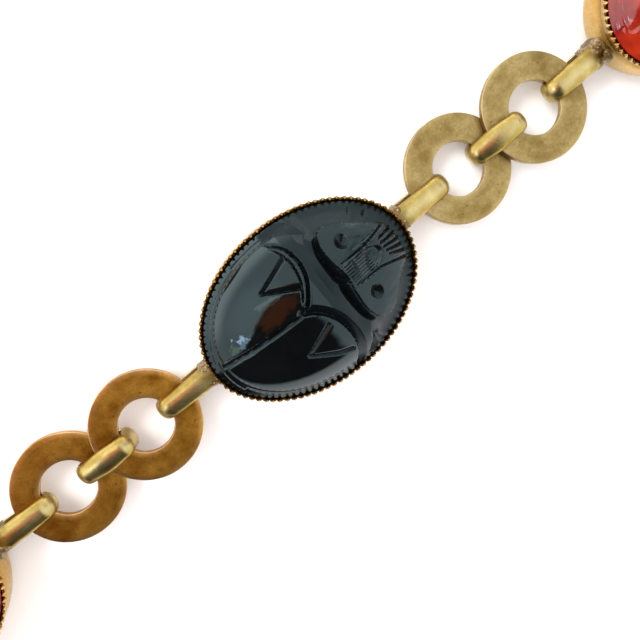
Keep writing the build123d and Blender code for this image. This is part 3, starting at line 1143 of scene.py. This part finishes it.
    left_plate: Route = (
        (0.345, 0.0), (0.33, 0.10), (0.313, 0.25), (0.313, 0.42), (0.33, 0.53), (0.37, 0.60), (0.43, 0.625),
        (0.50, 0.595), (0.61, 0.50), (0.72, 0.375), (0.815, 0.262), (0.875, 0.195), (0.905, 0.11), (0.915, 0),
    )
    right_plate: Route = (
        (0.345, 0.0), (0.33, 0.10), (0.313, 0.25), (0.313, 0.44), (0.335, 0.59), (0.39, 0.68), (0.47, 0.71),
        (0.56, 0.655), (0.645, 0.545), (0.755, 0.425), (0.875, 0.33), (0.905, 0.2), (0.912, 0.1), (0.915, 0),
    )

    def nearest(self, x: np.ndarray, y: np.ndarray, route: np.ndarray) -> tuple[np.ndarray, ...]:
        """Distance of every point to a polyline, which side of it they are on, and how far along it.

        Args:
            x: The points' X in millimetres.
            y: Their Y.
            route: The polyline's points in millimetres.

        Returns:
            The distance, 1 on the left and -1 on the right, and the share of the way along.
        """
        lengths = np.linalg.norm(np.diff(route, axis=0), axis=1)
        run = np.concatenate([[0], np.cumsum(lengths)])
        best, side, share = np.full(x.shape, np.inf), np.ones(x.shape), np.zeros(x.shape)
        for start, end, length, before in zip(route[:-1], route[1:], lengths, run[:-1]):
            along = (end - start) / length
            reach = np.clip((x - start[0]) * along[0] + (y - start[1]) * along[1], 0, length)
            away_x, away_y = x - start[0] - reach * along[0], y - start[1] - reach * along[1]
            distance = np.hypot(away_x, away_y)
            closer = distance < best
            best = np.where(closer, distance, best)
            side = np.where(closer, np.where(along[0] * away_y - along[1] * away_x >= 0, 1.0, -1.0), side)
            share = np.where(closer, (before + reach) / run[-1], share)
        return best, side, share

    def scaled(self, route: Route, smooth: bool = True) -> np.ndarray:
        """A route in millimetres, sampled as a smooth curve, or as its straight runs."""
        points = np.array(route) * [self.length / 2, self.width / 2]
        return curve_through(points, 8) if smooth and len(points) > 2 else points

    def cut_depth(self, cut: Cut, x: np.ndarray, y: np.ndarray) -> np.ndarray:
        """Depth of one cut at every point: it falls off in a straight line to nothing at the cut's side.

        Args:
            cut: The cut.
            x: The points' X in millimetres.
            y: Their distance from the middle line, positive on the cut's own side.

        Returns:
            The depth in millimetres.
        """
        distance, side, share = self.nearest(x, y, self.scaled(cut.route, cut.smooth))
        ends = (cut.left, cut.right, cut.depth)
        left, right, depth = (first + (last - first) * share for first, last in ends)
        runs_in = rise(share, 0.0, cut.fade[0]) if cut.fade[0] else 1.0
        runs_out = rise(1 - share, 0.0, cut.fade[1]) if cut.fade[1] else 1.0
        width = np.where(side > 0, left, right) * (runs_in * runs_out) ** 0.5
        return depth * runs_in * runs_out * np.clip(1 - distance / np.maximum(width, 1e-4), 0, 1)

    def head_plate(self, u: np.ndarray, x: np.ndarray, y: np.ndarray) -> tuple[np.ndarray, np.ndarray]:
        """How far the ground round the head plate is cut down, and where the plate itself is.

        A point is in the plate where a line from it crosses the outline an odd number of times. The outline's
        edge is scalloped by the size of a sine along it, and a low ridge runs just inside. The plate's two
        halves differ a little.

        Args:
            u: Share of the half length, the head's end at 1.
            x: The same in millimetres.
            y: Distance to the left of the middle in millimetres.

        Returns:
            The ground's depth in millimetres, and 1 inside the plate.
        """
        grounds, insides = [], []
        across = np.abs(y)
        for plate in (self.left_plate, self.right_plate):
            outline = self.scaled(plate)
            closed = np.vstack([outline, [outline[-1, 0], -1.0], [outline[0, 0], -1.0], outline[0]])
            inside = np.zeros(x.shape, bool)
            for start, end in zip(closed[:-1], closed[1:]):
                if start[1] != end[1]:
                    slant = (end[0] - start[0]) / (end[1] - start[1])
                    crosses = (start[1] > across) != (end[1] > across)
                    inside ^= crosses & (x < start[0] + (across - start[1]) * slant)
            distance, _, share = self.nearest(x, across, outline)
            run = share * np.linalg.norm(np.diff(outline, axis=0), axis=1).sum()
            toothed = rise(share, *self.toothed_rise) * (1 - rise(share, *self.toothed_fall))
            scallop = self.tooth_depth * toothed * np.abs(np.sin(math.pi * run / self.tooth_pitch))
            outwards = np.where(inside, -distance, distance) + self.tooth_depth - scallop
            ground = self.plate_relief * rise(outwards, 0.0, self.plate_edge)
            ground -= self.ridge * hump(outwards, *self.ridge_place) * rise(share, *self.ridge_rise)
            grounds.append(ground)
            insides.append(inside)
        return np.where(y > 0, *grounds) * rise(u, *self.plate_rise), np.where(y > 0, *insides)

    def border(self, u: np.ndarray, v: np.ndarray) -> np.ndarray:
        """Depth of the facets round the wing cases' outside, down to the rim.

        Two steps run round just inside the rim, with a fine line between. Each is a little off the round, and
        the outer one is broken where the carver started afresh.
        """
        rim, angle = np.hypot(u, v), np.arctan2(v, u)
        inner = self.border_rings[0] + self.border_sways[0] * np.sin(3 * angle + 1.0)
        outer = self.border_rings[1] + self.border_sways[1] * ((angle * 1.9 + 0.3) % 1.0)
        depth = self.line_depth * hump(rim, inner + self.line_place[0], self.line_place[1])
        for ring, step, width in zip((inner, outer), self.step_depths, self.step_widths):
            depth += step * rise(rim, ring, width)
        return depth * (1 - rise(u, *self.border_fall))

    def head(self, u: np.ndarray, v: np.ndarray, x: np.ndarray, y: np.ndarray) -> tuple[np.ndarray, ...]:
        """Depth of what is cut into the head plate: two dished eyes, the ribbed neck and the mouth.

        The ribs are a cosine across the neck. The mouth is an oval dish that starts where they end.

        Args:
            u: Share of the half length, the head's end at 1.
            v: Share of the half width.
            x: The first share in millimetres.
            y: The second share in millimetres.

        Returns:
            The depth in millimetres, and 1 in the dishes of the eyes.
        """
        depth, dishes = np.zeros(u.shape), np.zeros(u.shape)
        for along, across in self.eyes:
            far_x, far_y = x - along * self.length / 2, y - across * self.width / 2
            reach = np.hypot(far_x / self.eye_size[0], far_y / self.eye_size[1])
            depth += self.eye_depth * np.clip(1 - reach, 0, 1) ** 0.8
            dishes = np.maximum(dishes, reach < 1)
        v = v - self.neck_middle
        neck = rise(u, *self.neck_rise) * (1 - rise(u, *self.neck_fall))
        neck *= 1 - rise(np.abs(v), *self.neck_side_fall)
        wander = self.rib_wander * waves(5, self.rib_wander_size, x, 0 * y, 0 * y)
        depth += neck * self.rib_depth * (0.5 + 0.5 * np.cos(2 * math.pi * (y + wander) / self.rib_pitch))
        hollow = 1 - ((u - self.mouth_middle) / self.mouth_size[0]) ** 2 - (v / self.mouth_size[1]) ** 2
        return depth + self.mouth_depth * rise(hollow, 0.0, 0.5) * rise(u, *self.mouth_rise), dishes

    def carving(self, u: np.ndarray, v: np.ndarray) -> tuple[np.ndarray, np.ndarray, np.ndarray]:
        """Depth of all the carving under the smooth dome, how dull it is, and where the glass is ground.

        Glass is ground in the cuts, in the eyes, round the head plate, and on all that lies before the wings.

        Args:
            u: Share of the half length, the head's end at 1.
            v: Share of the half width.

        Returns:
            The depth in millimetres, the dullness from 0 to 1, and the share of ground glass from 0 to 1.
        """
        border, rim = self.border(u, v), np.hypot(u, v)
        u, v = u - self.off_middle[0], v - self.off_middle[1]
        x, y = u * self.length / 2, v * self.width / 2
        depth = np.zeros(u.shape)
        for cuts, across in ((self.left_cuts, y), (self.right_cuts, -y)):
            for cut in cuts:
                depth = np.maximum(depth, self.cut_depth(cut, x, across))
        in_cuts = depth / self.ground_from
        middle = 1 - rise(np.abs(v), *self.middle_fall)
        flange, inside = self.head_plate(u, x, y)
        flange *= 1 - self.rim_flattening * rise(rim, *self.rim_rise)
        valley = self.valley * rise(u, *self.valley_rise) * middle
        depth = np.maximum(depth + np.where(inside, self.plate_hollow * middle, valley), flange)
        head, in_eyes = self.head(u, v, x, y)
        large, small = self.lump_sizes
        lumps = waves(8, large, x, y, 0 * x) + 0.5 * waves(9, small, x, y, 0 * x)
        depth += head + border + self.plate_lumps * inside * lumps
        fore = rise(u, *self.wings_rise)
        least, most = self.cut_dullness
        in_depth = rise(depth, 0.0, self.dull_from) * (least + (most - least) * fore)
        dullness = np.maximum(in_depth, self.plate_dullness * inside)
        round_plate = (flange > 0.6 * self.plate_relief) * (u > 0.3)
        ground = np.maximum.reduce([in_cuts, round_plate, in_eyes, fore * (1 - inside)])
        return depth, np.clip(dullness, self.least_dullness * fore, 1), ground

    def surface(self, spacing: float) -> tuple[np.ndarray, np.ndarray, np.ndarray]:
        """The carved dome, as a square grid drawn to an oval, which has no pole where its points would crowd.

        A point (s, t) of the square goes to s times the root of 1 less half t squared, and likewise for t,
        which fills a disc. The disc is stretched to the oval and lifted to the dome. Each point then sinks
        along the dome's own slope, and near the rim straight down, by the depth of the carving. The rim is
        bevelled: it is lifted a little, so that it is less steep than the dome would be.

        Args:
            spacing: Distance between neighbouring points near the middle, in millimetres.

        Returns:
            The points, how dull each is, and the share of ground glass.
        """
        stretch = self.grid_stretch
        columns, rows = (int(round(size * stretch / spacing)) for size in (self.length, self.width))
        t, s = np.meshgrid(np.linspace(-1, 1, rows), np.linspace(-1, 1, columns), indexing="ij")
        p, q = s * np.sqrt(1 - t * t / 2), t * np.sqrt(1 - s * s / 2)
        swell = stretch - (stretch - 1) * (p * p + q * q)
        u, v = p * swell, q * swell
        rim = np.hypot(u, v)
        square = self.share**2
        height = np.sqrt(1 - square * np.clip(rim * rim, 0, 1))
        sunk = math.sqrt(1 - square)
        a, b, c = self.length / 2, self.width / 2, self.dome_height / (1 - sunk)
        normal = np.stack([square * u / a, square * v / b, height / c], -1)
        normal /= np.linalg.norm(normal, axis=-1, keepdims=True)
        depth, dullness, ground = self.carving(u, v)
        bevel = self.bevel_lift * np.clip((rim - 1) / self.bevel_share + 1, 0, 1) ** 2
        points = np.stack([a * u, b * v, self.girdle + c * (height - sunk) + bevel], -1)
        upright = rise(rim, *self.rim_rise)[..., None]
        sink = normal * (1 - upright) + UP * upright
        sink /= np.linalg.norm(sink, axis=-1, keepdims=True)
        return points - sink * depth[..., None], dullness, ground

    def build(
        self,
        node: str,
        place: np.ndarray,
        finishes: tuple[bpy.types.Material, bpy.types.Material],
        slot: str,
        spacing: float,
    ) -> None:
        """Make the stone: the carved dome, its girdle, a narrower foot below it, and a flat underside.

        Args:
            node: The node's name.
            place: Its matrix.
            finishes: The polished glass, and the ground glass of the cuts.
            slot: The record's material slot.
            spacing: Distance between points in millimetres.
        """
        points, dullness, ground = self.surface(spacing)
        rows, columns = points.shape[:2]
        index = np.arange(rows * columns).reshape(rows, columns)
        quads = np.stack([index[:-1, :-1], index[:-1, 1:], index[1:, 1:], index[1:, :-1]], -1).reshape(-1, 4)
        rim = np.concatenate([index[0, :-1], index[:-1, -1], index[-1, :0:-1], index[:0:-1, 0]])
        flat = points.reshape(-1, 3)
        narrow = [1 - 2 * self.foot_inset / self.length, 1 - 2 * self.foot_inset / self.width, 0]
        low = self.girdle - self.band
        rows_down = (([0.985, 0.98, 0], low), (narrow, low), (narrow, self.base))
        below = np.vstack([flat[rim] * shrink + UP * level for shrink, level in rows_down])
        loops = np.vstack([rim, np.arange(len(below)).reshape(len(rows_down), -1) + len(flat)])
        turned = np.roll(loops, -1, 1)
        wall = np.stack([turned[:-1], loops[:-1], loops[1:], turned[1:]], -1).reshape(-1, 4)
        all_points = np.vstack([flat, below])
        grime_and_shade = np.concatenate([dullness.ravel(), np.ones(len(below))])
        skin = Skin()
        skin.add(all_points, [quads, wall, loops[-1:, ::-1]], wear=np.zeros(len(all_points)), grime_and_shade=grime_and_shade)
        made = skin.piece(f"{node}_glass", place, finishes[0], slot, node, crease=35)
        made.data.materials.append(finishes[1])
        which = np.zeros(len(skin.faces), np.int32)
        which[: len(quads)] = ground.ravel()[quads].mean(1) > 0.5
        made.data.polygons.foreach_set("material_index", which)


@dataclass
class OvalLink:
    """A closed loop of strip round the two bands that lie on each other."""

    half_length: float = 1.76
    half_height: float = 0.933
    corner: float = 0.53
    bow: float = 0.12
    belly: Pair = (0.9, 0.12)
    wear: float = 0.8
    strip: BentStrip = field(default_factory=lambda: BentStrip(width=1.42))

    def path(self) -> np.ndarray:
        """A rectangle with round corners, whose long sides rise in the middle by a half sine."""
        steps = self.strip.path_steps
        flat_x, flat_z = self.half_length - self.corner, self.half_height - self.corner
        turn = np.linspace(0, math.pi / 2, steps)
        side = np.linspace(-1, 1, steps + 2)[1:-1]
        top = np.stack([side * flat_x, self.half_height + self.bow * np.cos(side * math.pi / 2)], -1)
        front = np.stack([flat_x + self.corner * np.sin(turn), flat_z + self.corner * np.cos(turn)], -1)
        low_front = front[::-1] * [1, -1]
        return np.vstack([top, front, low_front, -top, -front, -low_front])

    def build(self, node: str, place: np.ndarray, finish: bpy.types.Material, slot: str) -> None:
        """Make the link, a little wider in its middle.

        Args:
            node: The node's name.
            place: Its matrix.
            finish: Its material.
            slot: The record's material slot.
        """
        path = self.path()
        least, more = self.belly
        wide = least + more * rise(1 - np.abs(path[:, 0]) / self.half_length)
        grid, wear = self.strip.sweep(path, closed=True, flare=wide)
        skin = Skin()
        skin.add_closed(grid, wear=wear * self.wear, tube=True)
        skin.piece(f"{node}_strip", place, finish, slot, node, crease=40)


@dataclass
class Clasp:
    """The clasp that the photograph doesn't show: an oval link under a plain oval cover plate."""

    length: float = 6.6
    width: float = 4.4
    thickness: float = 0.7
    edge: float = 0.2
    break_edge: Pair = (0.04, 0.05)
    lift: float = 0.933
    wear: float = 0.8
    around: int = 96
    link: OvalLink = field(default_factory=OvalLink)

    def build(self, place: np.ndarray, finish: bpy.types.Material, slot: str) -> None:
        """Make the link and, level over it, the plate with its top edge rounded to a quarter circle.

        The plate's rows go from its underside's middle over the edge to its top's middle.

        Args:
            place: Matrix of the link, whose tilt the plate doesn't share.
            finish: Its material.
            slot: The record's material slot.
        """
        skin = Skin()
        grid, wear = self.link.strip.sweep(self.link.path(), closed=True)
        skin.add_closed(grid, wear=wear * self.wear, tube=True)
        broken_in, broken_up = self.break_edge
        bend = np.linspace(0, math.pi / 2, 6)
        insets, heights = self.edge * (1 - np.cos(bend)), self.thickness - self.edge * (1 - np.sin(bend))
        rows = [(0.0, 0.0, 0.0), (0.5, 0.0, 0.0), (1.0, broken_in, 0.0), (1.0, 0.0, broken_up)]
        rows += [(1.0, inset, height) for inset, height in zip(insets, heights)]
        rows += [(0.6, self.edge, self.thickness), (0.0, self.edge, self.thickness)]
        share, inset, height = np.array(rows).T[:, :, None]
        turn = np.linspace(0, 2 * math.pi, self.around, endpoint=False)[None, :]
        x = (self.length / 2 - inset) * share * np.cos(turn)
        y = (self.width / 2 - inset) * share * np.sin(turn)
        z = np.broadcast_to(height + self.lift, x.shape)
        level = np.stack([*level_axes(math.atan2(place[1, 0], place[0, 0])), UP])
        rim = hump(np.arange(len(rows))[:, None], 6.5, 1.8)
        skin.add_closed(np.stack([x, y, z], -1) @ level @ place[:3, :3], wear=self.wear * rim)
        skin.piece("clasp_cover", place, finish, slot, "clasp", crease=40)


@dataclass(frozen=True)
class Patch:
    """A soft-edged part of the room as the polished pieces mirror it.

    Each edge is a direction and two cosines: the patch fades in between them, and the edges' shares multiply.
    """

    colour: Triple
    edges: tuple[tuple[Triple, float, float], ...]


def spot(colour: Triple, azimuth: float, elevation: float, inner: float, outer: float) -> Patch:
    """A round patch, its middle's azimuth and elevation and its two radii given in degrees."""
    turn, tilt = math.radians(azimuth), math.radians(elevation)
    middle = (math.cos(turn) * math.cos(tilt), math.sin(turn) * math.cos(tilt), math.sin(tilt))
    return Patch(colour, ((middle, math.cos(math.radians(outer)), math.cos(math.radians(inner))),))


@dataclass
class Studio:
    """The floor, the soft light, the room that the glass mirrors, and the camera fitted to rings and rims."""

    camera_place: Triple = (-1.8, 8.65, 47.93)
    camera_view: Triple = (0.0342, -0.2188, -0.9752)
    camera_up: Triple = (0.6335, 0.7594, -0.1481)
    lens: float = 50.0
    frame_width: float = 40.0
    floor_size: float = 3.0
    paper: str = "#f6f5f5"
    fill: Triple = (1.5, 1.43, 1.42)
    room: Triple = (1.5, 1.52, 1.5)
    wobble: float = 0.05
    wobble_scale: float = 9.0
    key_direction: Triple = (-0.3, 0.7, 0.75)
    key_distance: float = 0.6
    key_size: float = 0.3
    key_power: float = 3.0
    patches: tuple[Patch, ...] = (
        # the bright wall under the window, low behind the bracelet
        Patch((3.4, 3.3, 3.2), (((0.0, 1.0, 0.0), 0.2, 0.6), ((0.0, 0.0, -1.0), -0.4, -0.1))),
        # the lighter part of the window
        spot((2.1, 2.1, 2.05), 138, 46, 2, 30),
        # the dim end of the room past the head
        spot((0.35, 0.45, 0.5), 0, 42, 4, 17),
        # the room's dark side, on the tail's right, which the right wing case mirrors
        Patch(
            (0.03, 0.028, 0.025),
            (
                ((-1.0, 0.0, 0.0), -0.05, 0.03),
                ((0.0, -1.0, 0.0), -0.42, -0.34),
                ((0.651, -0.759, 0.0), -0.53, -0.47),
                ((0.0, 0.0, 1.0), -0.02, 0.1),
            ),
        ),
        # two bright edges of the window's blind
        spot((3.2, 3.2, 3.1), 137, 56, 1, 5),
        spot((3.6, 3.6, 3.5), 123, 62, 1, 5),
        # a warm dark patch overhead, longer than it is wide, from three that overlap
        spot((0.6, 0.13, 0.03), 171, 61, 3, 10),
        spot((0.65, 0.14, 0.03), 138, 76, 3, 12),
        spot((1.0, 0.21, 0.04), 156, 68, 6, 15),
        # three bright panes low in the window, the first the brightest and the last a little green
        spot((9.0, 9.6, 12.0), 169, 38, 2.0, 6.5),
        spot((3.5, 3.8, 4.5), 176, 37, 0.6, 2.0),
        spot((2.6, 2.9, 2.0), 177, 27, 2.5, 6.0),
    )

    def light_the_room(self) -> None:
        """Give the world an even fill, and let glossy rays see the room's patches in its place.

        A little noise bends the directions, so that the patches have uneven edges, as a real room's have.
        """
        world = bpy.data.worlds.new("soft_room")
        world.use_nodes = True
        tree = world.node_tree
        direction = add_node(tree, "ShaderNodeTexCoord").outputs["Generated"]
        noise = {"Vector": direction, "Scale": self.wobble_scale, "Detail": 4.0}
        ragged = add_node(tree, "ShaderNodeTexNoise", inputs=noise).outputs["Color"]
        centred = {0: ragged, 1: (0.5,) * 3}
        centred = add_node(tree, "ShaderNodeVectorMath", {"operation": "SUBTRACT"}, centred).outputs[0]
        bent = {0: centred, 1: (self.wobble,) * 3, 2: direction}
        direction = add_node(tree, "ShaderNodeVectorMath", {"operation": "MULTIPLY_ADD"}, bent).outputs[0]
        seen = (*self.room, 1.0)
        for patch in self.patches:
            share = 1.0
            for axis, start, end in patch.edges:
                facing = {0: direction, 1: axis}
                along = add_node(tree, "ShaderNodeVectorMath", {"operation": "DOT_PRODUCT"}, facing)
                fade = {0: along.outputs["Value"], 1: start, 2: end}
                edge = add_node(tree, "ShaderNodeMapRange", {"interpolation_type": "SMOOTHSTEP"}, fade)
                both = {0: edge.outputs[0], 1: share}
                share = add_node(tree, "ShaderNodeMath", {"operation": "MULTIPLY"}, both).outputs[0]
            layers = {0: share, 6: seen, 7: (*patch.colour, 1.0)}
            seen = add_node(tree, "ShaderNodeMix", {"data_type": "RGBA"}, layers).outputs[2]
        glossy = add_node(tree, "ShaderNodeLightPath").outputs["Is Glossy Ray"]
        layers = {0: glossy, 6: (*self.fill, 1.0), 7: seen}
        light = add_node(tree, "ShaderNodeMix", {"data_type": "RGBA"}, layers).outputs[2]
        feed(tree, tree.nodes["Background"], {"Color": light})
        bpy.context.scene.world = world

    def lay_floor(self) -> None:
        """Lay a square of matt white paper, which isn't part of the bracelet."""
        half = self.floor_size / 2
        corners = [(-half, -half, 0), (half, -half, 0), (half, half, 0), (-half, half, 0)]
        mesh = bpy.data.meshes.new("floor")
        mesh.from_pydata(corners, [], [(0, 1, 2, 3)])
        paper = bpy.data.materials.new("matt_white_paper")
        paper.use_nodes = True
        matt = {"Base Color": linear(self.paper), "Roughness": 0.9, "Specular IOR Level": 0.0}
        feed(paper.node_tree, paper.node_tree.nodes["Principled BSDF"], matt)
        mesh.materials.append(paper)
        floor = bpy.data.objects.new("floor", mesh)
        bpy.context.scene.collection.objects.link(floor)

    def build(self) -> None:
        """Set the floor, the room, the key light and the camera."""
        scene = bpy.context.scene
        self.lay_floor()
        self.light_the_room()

        key = bpy.data.lights.new("window", "AREA")
        key.shape = "DISK"
        key.size = self.key_size
        key.energy = self.key_power
        lamp = bpy.data.objects.new("window", key)
        towards = Vector(self.key_direction).normalized()
        lamp.location = towards * self.key_distance
        lamp.rotation_mode = "QUATERNION"
        lamp.rotation_quaternion = towards.to_track_quat("Z", "Y")
        lamp.visible_glossy = False
        scene.collection.objects.link(lamp)

        view = Vector(self.camera_view).normalized()
        right = view.cross(Vector(self.camera_up)).normalized()
        up = right.cross(view)
        camera = bpy.data.cameras.new("camera")
        camera.sensor_width = self.frame_width
        camera.lens = self.lens
        camera.clip_start = 1.0 * MM
        eye = bpy.data.objects.new("camera", camera)
        eye.rotation_mode = "QUATERNION"
        eye.rotation_quaternion = Matrix((right, up, -view)).transposed().to_quaternion()
        eye.location = Vector(self.camera_place) * MM
        scene.collection.objects.link(eye)
        scene.camera = eye
        scene.view_settings.view_transform = "Standard"


# Rolled sheet, rubbed satin and aged to olive: a soft yellow-grey sheen with brown blotches and fine pits.
OLIVE_BRASS = AgedBrass(
    "olive_rubbed_sheet_brass", "#b7a06d", "#87703e", "#6b5228", "#dcc796", (0.34, 0.46),
    pit_size=0.3, pit_level=0.66,
)
# The same sheet, tarnished further: the sheen turns orange-brown, with darker red-brown blotches.
RED_BRASS = replace(
    OLIVE_BRASS, name="red_tarnished_sheet_brass",
    colour="#cc9a42", deep="#8b5b15", pit="#5f3a10", rubbed="#e6c498",
)
# Half-round strip drawn through a die and polished: a bright, narrow highlight along its crown.
STRIP_BRASS = AgedBrass(
    "drawn_half_round_brass", "#bfab66", "#9a803c", "#6e5424", "#efe2b4", (0.27, 0.37),
    mottle=1.2, pit_level=0.74,
)
# Sheet pressed to a bowl and polished: the brightest, with wide golden stains, as a soldering flame leaves.
# Its dark coat is painted shade: in the crease, the notches between the teeth, the strip's inner face and the
# bowl's inside.
CUP_BRASS = AgedBrass(
    "pressed_cup_brass", "#c6b27c", "#b98a38", "#7d5f2e", "#efe2b8", (0.24, 0.36), mottle=3.2, pit_level=0.72
)
# Black glass, polished like a mirror: it shows the room, a little blue-green, and no colour of its own.
BLACK_GLASS = CarvedGlass(
    "polished_black_glass", "#050607", "#080a0b",
    polish=0.035, cut=0.2, scatter=0.0, index=1.52, tint="#d2f6ff",
)
# The same where the wheel has ground it: blurred, weaker reflections, so the cuts and the head look greyer.
BLACK_GROUND = replace(BLACK_GLASS, name="wheel_ground_black_glass", polish=0.2, cut=0.3, level=0.3)
# Red glass with orange veins, less well polished: light goes a little way in and glows back red.
CARNELIAN_GLASS = CarvedGlass(
    "polished_carnelian_glass", "#701210", "#a02a10", polish=0.06, cut=0.25, scatter=0.4, index=1.62
)
# The same where the wheel has ground it: a satin red.
CARNELIAN_GROUND = replace(CARNELIAN_GLASS, name="wheel_ground_carnelian_glass", polish=0.26, cut=0.38)


@dataclass
class Bracelet:
    """The whole bracelet: cups and stones, ring pairs, links and the clasp."""

    chain: Chain
    near_spacings: dict[int, float] = field(default_factory=lambda: {1: 0.044, 2: 0.06})
    far_spacing: float = 0.082
    # how dark the teeth round a black stone are made
    black_teeth_darkening: float = 0.42
    scarab: Scarab = field(default_factory=Scarab)
    ring: FlatRing = field(default_factory=FlatRing)
    link: OvalLink = field(default_factory=OvalLink)

    def __post_init__(self) -> None:
        """Make the finishes, and read the record's slots and the bails' reach and height from the frame."""
        self.slots = {row["node"]: row["material_slot"] for row in frame["record"]["subparts"]}
        self.tones = {Tone.OLIVE.value: OLIVE_BRASS.material(), Tone.RED.value: RED_BRASS.material()}
        self.glasses = {
            Glass.BLACK.value: (BLACK_GLASS.material(), BLACK_GROUND.material()),
            Glass.CARNELIAN.value: (CARNELIAN_GLASS.material(), CARNELIAN_GROUND.material()),
        }
        self.cup_finish = CUP_BRASS.material()
        self.strip_finish = STRIP_BRASS.material()
        self.solder_finish = SoftSolder().material()
        self.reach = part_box("setting_1")[1].x / MM - self.chain.middle("scarab_stone_1")[0]
        self.bail_height = self.height_of_bails()

    def spacing(self, number: int) -> float:
        """Point spacing of one stone: finest where the photograph's view comes closest."""
        fine = self.near_spacings.get(number, self.far_spacing)
        return fine

    def height_of_bails(self) -> float:
        """Height of the bails' middle: where the first lower ring's band passes through the first."""
        place = self.chain.ring("lower_ring_1", turn=0.0)
        band = (self.ring.outer + self.ring.bore) / 2
        back = np.array([-1.0, 0.0, 0.0])
        back -= place[:3, 2] * (back @ place[:3, 2])
        return float(place[2, 3] + band * back[2] / np.linalg.norm(back))

    def add_setting(self, number: int) -> None:
        """Make one setting and its stone: the cup, its two bails, their solder, and the scarab."""
        node, stone = f"setting_{number}", f"scarab_stone_{number}"
        place, slot, glass = self.chain.cup(number), self.slots[node], self.slots[stone]
        cup = Cup(teeth_darkening=self.black_teeth_darkening) if glass == Glass.BLACK.value else Cup()
        bowl, bails, solder = Skin(), Skin(), Skin()
        cup.add_bowl(bowl, seed=number)
        cup.add_bezel(bowl, seed=number)
        for end in (1, -1):
            Bail(self.reach, self.bail_height).add_to(bails, end)
            SolderCollar(self.bail_height).add_to(solder, end, seed=10 * number + end)
        bowl.piece(f"{node}_cup", place, self.cup_finish, slot, node, crease=32)
        bails.piece(f"{node}_bails", place, self.strip_finish, slot, node, crease=40)
        solder.piece(f"{node}_solder", place, self.solder_finish, slot, node, crease=60)
        self.scarab.build(stone, place, self.glasses[glass], glass, self.spacing(number))

    def add_pair(self, number: int) -> None:
        """Make one pair of rings, and the oval link or the clasp that holds them."""
        for end, level in enumerate(("lower", "upper")):
            node = f"{level}_ring_{number}"
            seed = 100 * number + 7 * end
            slot = self.slots[node]
            self.ring.build(node, self.chain.ring(node, turn=0.7 * seed), self.tones[slot], slot, seed)
        if number == self.chain.clasp_pair:
            Clasp(link=self.link).build(self.chain.clasp(), self.strip_finish, self.slots["clasp"])
        else:
            node = f"oval_link_{number}"
            self.link.build(node, self.chain.link(number), self.strip_finish, self.slots[node])

    def build(self) -> None:
        """Make every piece, from the cups to the clasp."""
        for number in range(1, self.chain.count + 1):
            self.add_setting(number)
        for number in range(1, self.chain.count + 1):
            self.add_pair(number)


def main() -> None:
    """Build the bracelet and the studio."""
    logging.basicConfig(level=logging.INFO)
    Bracelet(Chain(frame["nodes"])).build()
    Studio().build()


if __name__ == "__main__":
    main()
